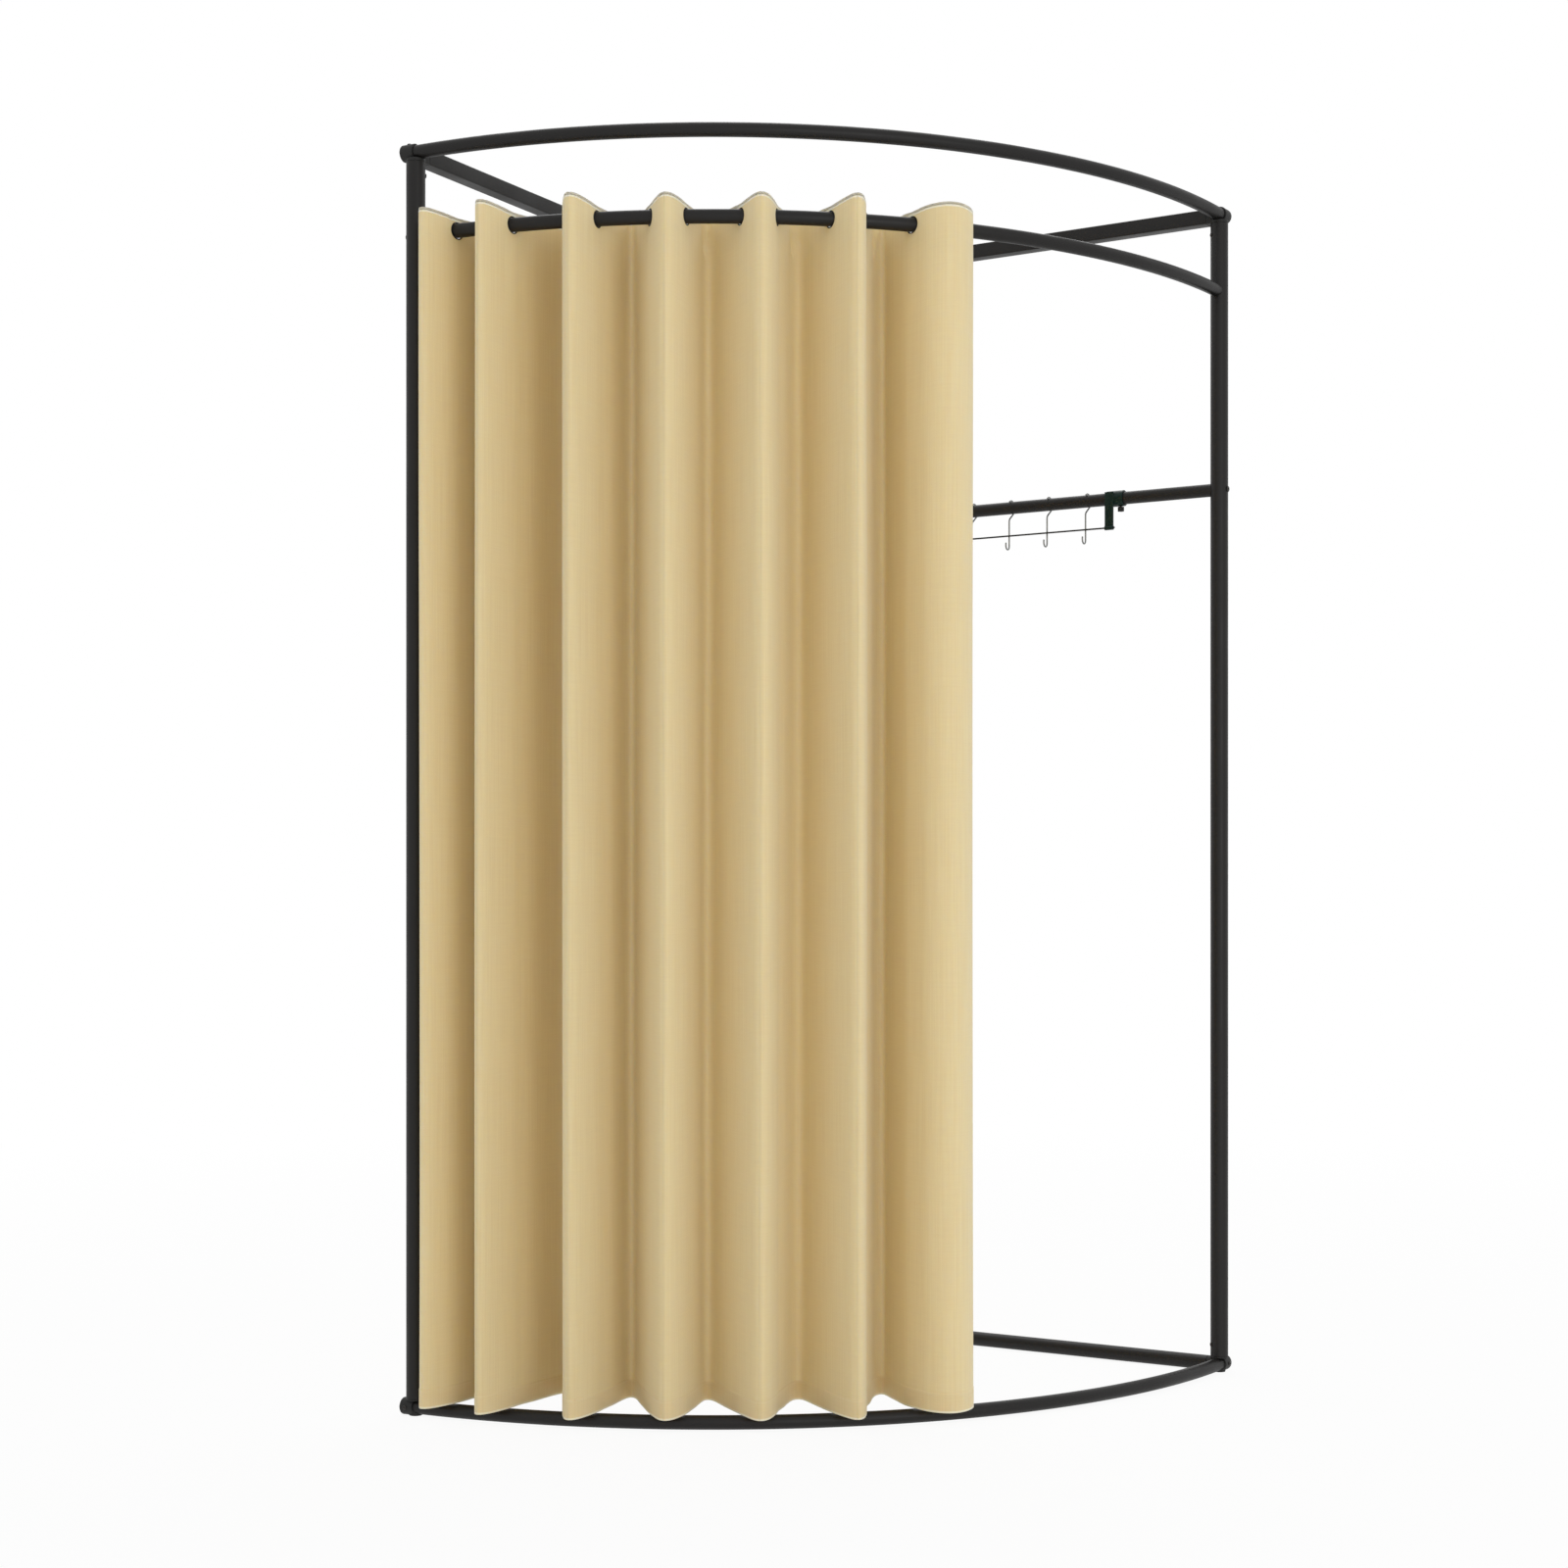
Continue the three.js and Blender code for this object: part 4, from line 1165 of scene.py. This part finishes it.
def eyelet_steps(middle):
    """Even places across the part of the grid that spreads round an eyelet."""
    count = round(2 * EYELET_SPREAD / EYELET_STEP)
    return [middle - EYELET_SPREAD + EYELET_STEP * k for k in range(count + 1)]


def columns(start, end):
    """Flat places of a length's columns: close at its two ends and round its eyelets."""
    places, at, near = [], start, EDGE_STEP
    for eyelet in [place for place in eyelet_flats if start < place < end]:
        places += steps_between(at, eyelet - EYELET_SPREAD, COLUMN_STEP, near, EYELET_STEP)[:-1]
        places += eyelet_steps(eyelet)[:-1]
        at, near = eyelet + EYELET_SPREAD, EYELET_STEP
    return places + steps_between(at, end, COLUMN_STEP, near, EDGE_STEP)


def rows():
    """Heights of the cloth's rows: close at the hem's two edges, below the header and round
    the eyelets."""
    hem_top, drag_end = CURTAIN_HEM + HEM_BAND, CURTAIN_TOP - DRAG_LENGTH
    return (steps_between(CURTAIN_HEM, hem_top, HEM_STEP, EYELET_STEP, EDGE_STEP)[:-1]
            + steps_between(hem_top, drag_end, MIDDLE_STEP, EDGE_STEP, DRAG_STEP)[:-1]
            + steps_between(drag_end, eyelet_height - EYELET_SPREAD, DRAG_STEP, DRAG_STEP,
                            EYELET_STEP)[:-1]
            + eyelet_steps(eyelet_height) + [CURTAIN_TOP])


def canvas():
    # Spun polyester canvas, piece-dyed warm beige: a matt plain weave with faint uneven
    # yarns and a little fuzz that lightens the cloth where it turns away. The real yarns
    # are about 0.4 mm apart; they are drawn 1.6 mm apart, or they would not show. A narrow
    # band at the hem and at the top is painted lighter, a painted highlight where the turned
    # edge catches the light, and rows of thread hold the turnings.
    material, tree, shader, place = surface("beige_polyester_canvas", {
        "Base Color": linear("#ecd7a7"), "Roughness": 0.92, "Specular IOR Level": 0.15,
        "Sheen Weight": 0.12, "Sheen Roughness": 0.5, "Subsurface Weight": 0.8,
        "Subsurface Radius": (1, 1.15, 1.6), "Subsurface Scale": 1.8 * MM})
    flat = add_node(tree, "ShaderNodeUVMap", {"uv_map": "flat_cloth"}).outputs[0]
    width, height = add_node(tree, "ShaderNodeSeparateXYZ", None, {0: flat}).outputs[:2]

    def sum_of(operation, *inputs):
        return maths(tree, operation, *inputs)

    def wave(part):
        return sum_of("SINE", sum_of("MULTIPLY", part, math.tau / (WEAVE_PITCH * MM)))

    def slubs(wide, high):
        """Soft streaks of uneven yarn, with their own width and height in millimetres."""
        stretched = add_node(tree, "ShaderNodeMapping", None, {
            "Vector": flat, "Scale": (1 / (wide * MM), 1 / (high * MM), 1)})
        return add_node(tree, "ShaderNodeTexNoise", {"noise_dimensions": "2D"}, {
            "Vector": stretched.outputs[0], "Scale": 1, "Detail": 3,
            "Roughness": 0.6}).outputs["Fac"]

    def stitches(level):
        """1 on the thread of a row of stitches at a height of the flat cloth, 0 beside it."""
        off = sum_of("ABSOLUTE", sum_of("SUBTRACT", height, level * MM))
        step = sum_of("FRACT", sum_of("DIVIDE", width, STITCH_PITCH * MM))
        return sum_of("MULTIPLY", sum_of("LESS_THAN", off, STITCH_WIDTH / 2 * MM),
                      sum_of("LESS_THAN", step, STITCH_SHARE))

    weave = sum_of("MULTIPLY", wave(width), wave(height))
    yarns = sum_of("MULTIPLY_ADD", slubs(60, 2.2), 0.4, slubs(2.4, 190))
    shade = ranged(tree, yarns, (0.45, 0.95), (0, 1))
    tone = mixed(tree, shade, linear("#ead6a8"), linear("#efddb0"))
    woven = mixed(tree, 1, tone, ranged(tree, weave, (-1, 1), (0.97, 1.015)), "MULTIPLY")
    thread = sum_of("MAXIMUM", stitches(CURTAIN_HEM + HEM_BAND - STITCH_INSET),
                    stitches(CURTAIN_TOP - STITCH_INSET))
    # The narrow bands at the hem and at the top are painted lighter: a painted highlight where the
    # turned edges catch the light
    edges = sum_of("MAXIMUM", sum_of("LESS_THAN", height, (CURTAIN_HEM + PAINTED_HIGHLIGHT_BAND) * MM),
                   sum_of("GREATER_THAN", height, (CURTAIN_TOP - PAINTED_HIGHLIGHT_BAND) * MM))
    thread_and_painted_highlight = sum_of("MAXIMUM", sum_of("MULTIPLY", thread, 0.3), sum_of("MULTIPLY", edges, 0.8))
    tree.links.new(mixed(tree, thread_and_painted_highlight, woven, linear("#fbf3dc")), shader.inputs["Base Color"])
    relief = sum_of("ADD", sum_of("MULTIPLY_ADD", yarns, 0.4, weave),
                    sum_of("MULTIPLY", thread, 1.5))
    emboss(tree, shader, relief, 0.35, 0.12)
    return material


cloth = canvas()


def cloth_length(name, start, end):
    """One length of the curtain, from one flat place to another, as a thick sheet."""
    bm = bmesh.new()
    across, up = columns(start, end), rows()
    grid = bmesh.ops.create_grid(bm, x_segments=len(across) - 1, y_segments=len(up) - 1, size=1)
    corners = sorted(grid["verts"], key=lambda vert: (round(vert.co.y, 5), vert.co.x))
    uv_layer = bm.loops.layers.uv.new("flat_cloth")
    grids = {vert: (across[i % len(across)], up[i // len(across)])
             for i, vert in enumerate(corners)}
    flats = {vert: eyelet_warp(*grids[vert]) for vert in corners}
    holes = []
    for face in bm.faces:
        for loop in face.loops:
            flat, height = flats[loop.vert]
            loop[uv_layer].uv = (flat * MM, height * MM)
        flat, height = (sum(grids[vert][k] for vert in face.verts) / 4 for k in (0, 1))
        if abs(height - eyelet_height) < EYELET_SQUARE and any(
                abs(flat - place) < EYELET_SQUARE for place in eyelet_flats):
            holes.append(face)
    bmesh.ops.delete(bm, geom=holes, context="FACES")
    bm.verts.index_update()
    bands = []
    for vert in bm.verts:
        flat, height = flats[vert]
        vert.co = cloth_point(flat, height)
        if height < CURTAIN_HEM + HEM_BAND or min(flat, cloth_width - flat) < SIDE_BAND:
            bands.append(vert.index)
    piece = finish_mesh(name, bm, cloth)
    piece.vertex_groups.new(name="hems").add(bands, 1, "REPLACE")
    wall = piece.modifiers.new("thickness", "SOLIDIFY")
    wall.thickness = 2 * CLOTH_THICKNESS * MM
    wall.offset = 0
    wall.vertex_group = "hems"
    wall.thickness_vertex_group = 0.5
    wall.use_rim = True
    applied(piece)
    piece.vertex_groups.clear()
    piece.data.set_sharp_from_angle(angle=math.radians(RIM_CORNER))
    return piece


def thread_binding():
    # Spun polyester buttonhole thread, wound round the hole's edge in close radial stitches:
    # a thin, soft, finely ribbed ring. Its near black colour, like the rail's, is painted
    # shade, standing for the shadow in the gap between the hole's edge and the rail.
    material, tree, shader, place = surface("dark_binding_painted_shade", {
        "Base Color": linear("#241f1a"), "Roughness": 0.85, "Specular IOR Level": 0.15,
        "Sheen Weight": 0.05, "Sheen Roughness": 0.5})
    turn = add_node(tree, "ShaderNodeSeparateXYZ", None, {
        0: add_node(tree, "ShaderNodeUVMap", {"uv_map": "round_hole"}).outputs[0]}).outputs["X"]
    ribs = maths(tree, "SINE", maths(tree, "MULTIPLY", turn, math.tau * BINDING_STITCHES))
    emboss(tree, shader, ribs, 0.6, 0.15)
    return material


painted_shade_binding = thread_binding()


def eyelet_binding(index):
    """The bound edge of one hole: a flat soft ring on the cloth's edge, square to the cloth."""
    flat = eyelet_flats[index]
    before, after = (cloth_point(flat + side * BINDING_SEAT, eyelet_height) for side in (-1, 1))
    centre = (before + after) / 2
    centre.z = (RAIL_HEIGHT - BINDING_DROP) * MM
    run = after - before
    half = BINDING_THICKNESS / 2
    bm = spun(tube_profile(BINDING_OUTER, BINDING_OUTER - BINDING_INNER, -half, half,
                           BINDING_CORNER), closed=True, sides=64)
    uv_layer = bm.loops.layers.uv.new("round_hole")
    for face in bm.faces:
        middle = face.calc_center_median()
        face_turn = math.atan2(middle.y, middle.x) / math.tau
        for loop in face.loops:
            turn = math.atan2(loop.vert.co.y, loop.vert.co.x) / math.tau
            turn += round(face_turn - turn)
            loop[uv_layer].uv = (turn, loop.vert.co.z)
    move(bm, axis_matrix(centre, (run.y, -run.x, 0))
         @ Matrix.Diagonal((BINDING_STRETCH, 1, 1, 1)))
    piece = finish_mesh(f"eyelet_binding_{index + 1}", bm, painted_shade_binding, 60)
    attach(piece, f"pleat_{index // 2 + 1}")
    return piece


# Each hole gets a near black ring: painted shade for the shadowed gap round the rail
bindings = [eyelet_binding(index) for index in range(2 * CRESTS)]

for i in range(CRESTS - 1):
    start = 0 if i == 0 else crest_flats[i]
    end = cloth_width if i == CRESTS - 2 else crest_flats[i + 1]
    piece = cloth_length(f"curtain_cloth_{i + 1}", start, end)
    nodes = [f"curtain_pleat_{i + 1}", f"curtain_valley_{i + 1}"]
    if i == CRESTS - 2:
        nodes.append(f"curtain_pleat_{CRESTS}")
    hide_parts(*nodes)
    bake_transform(piece)
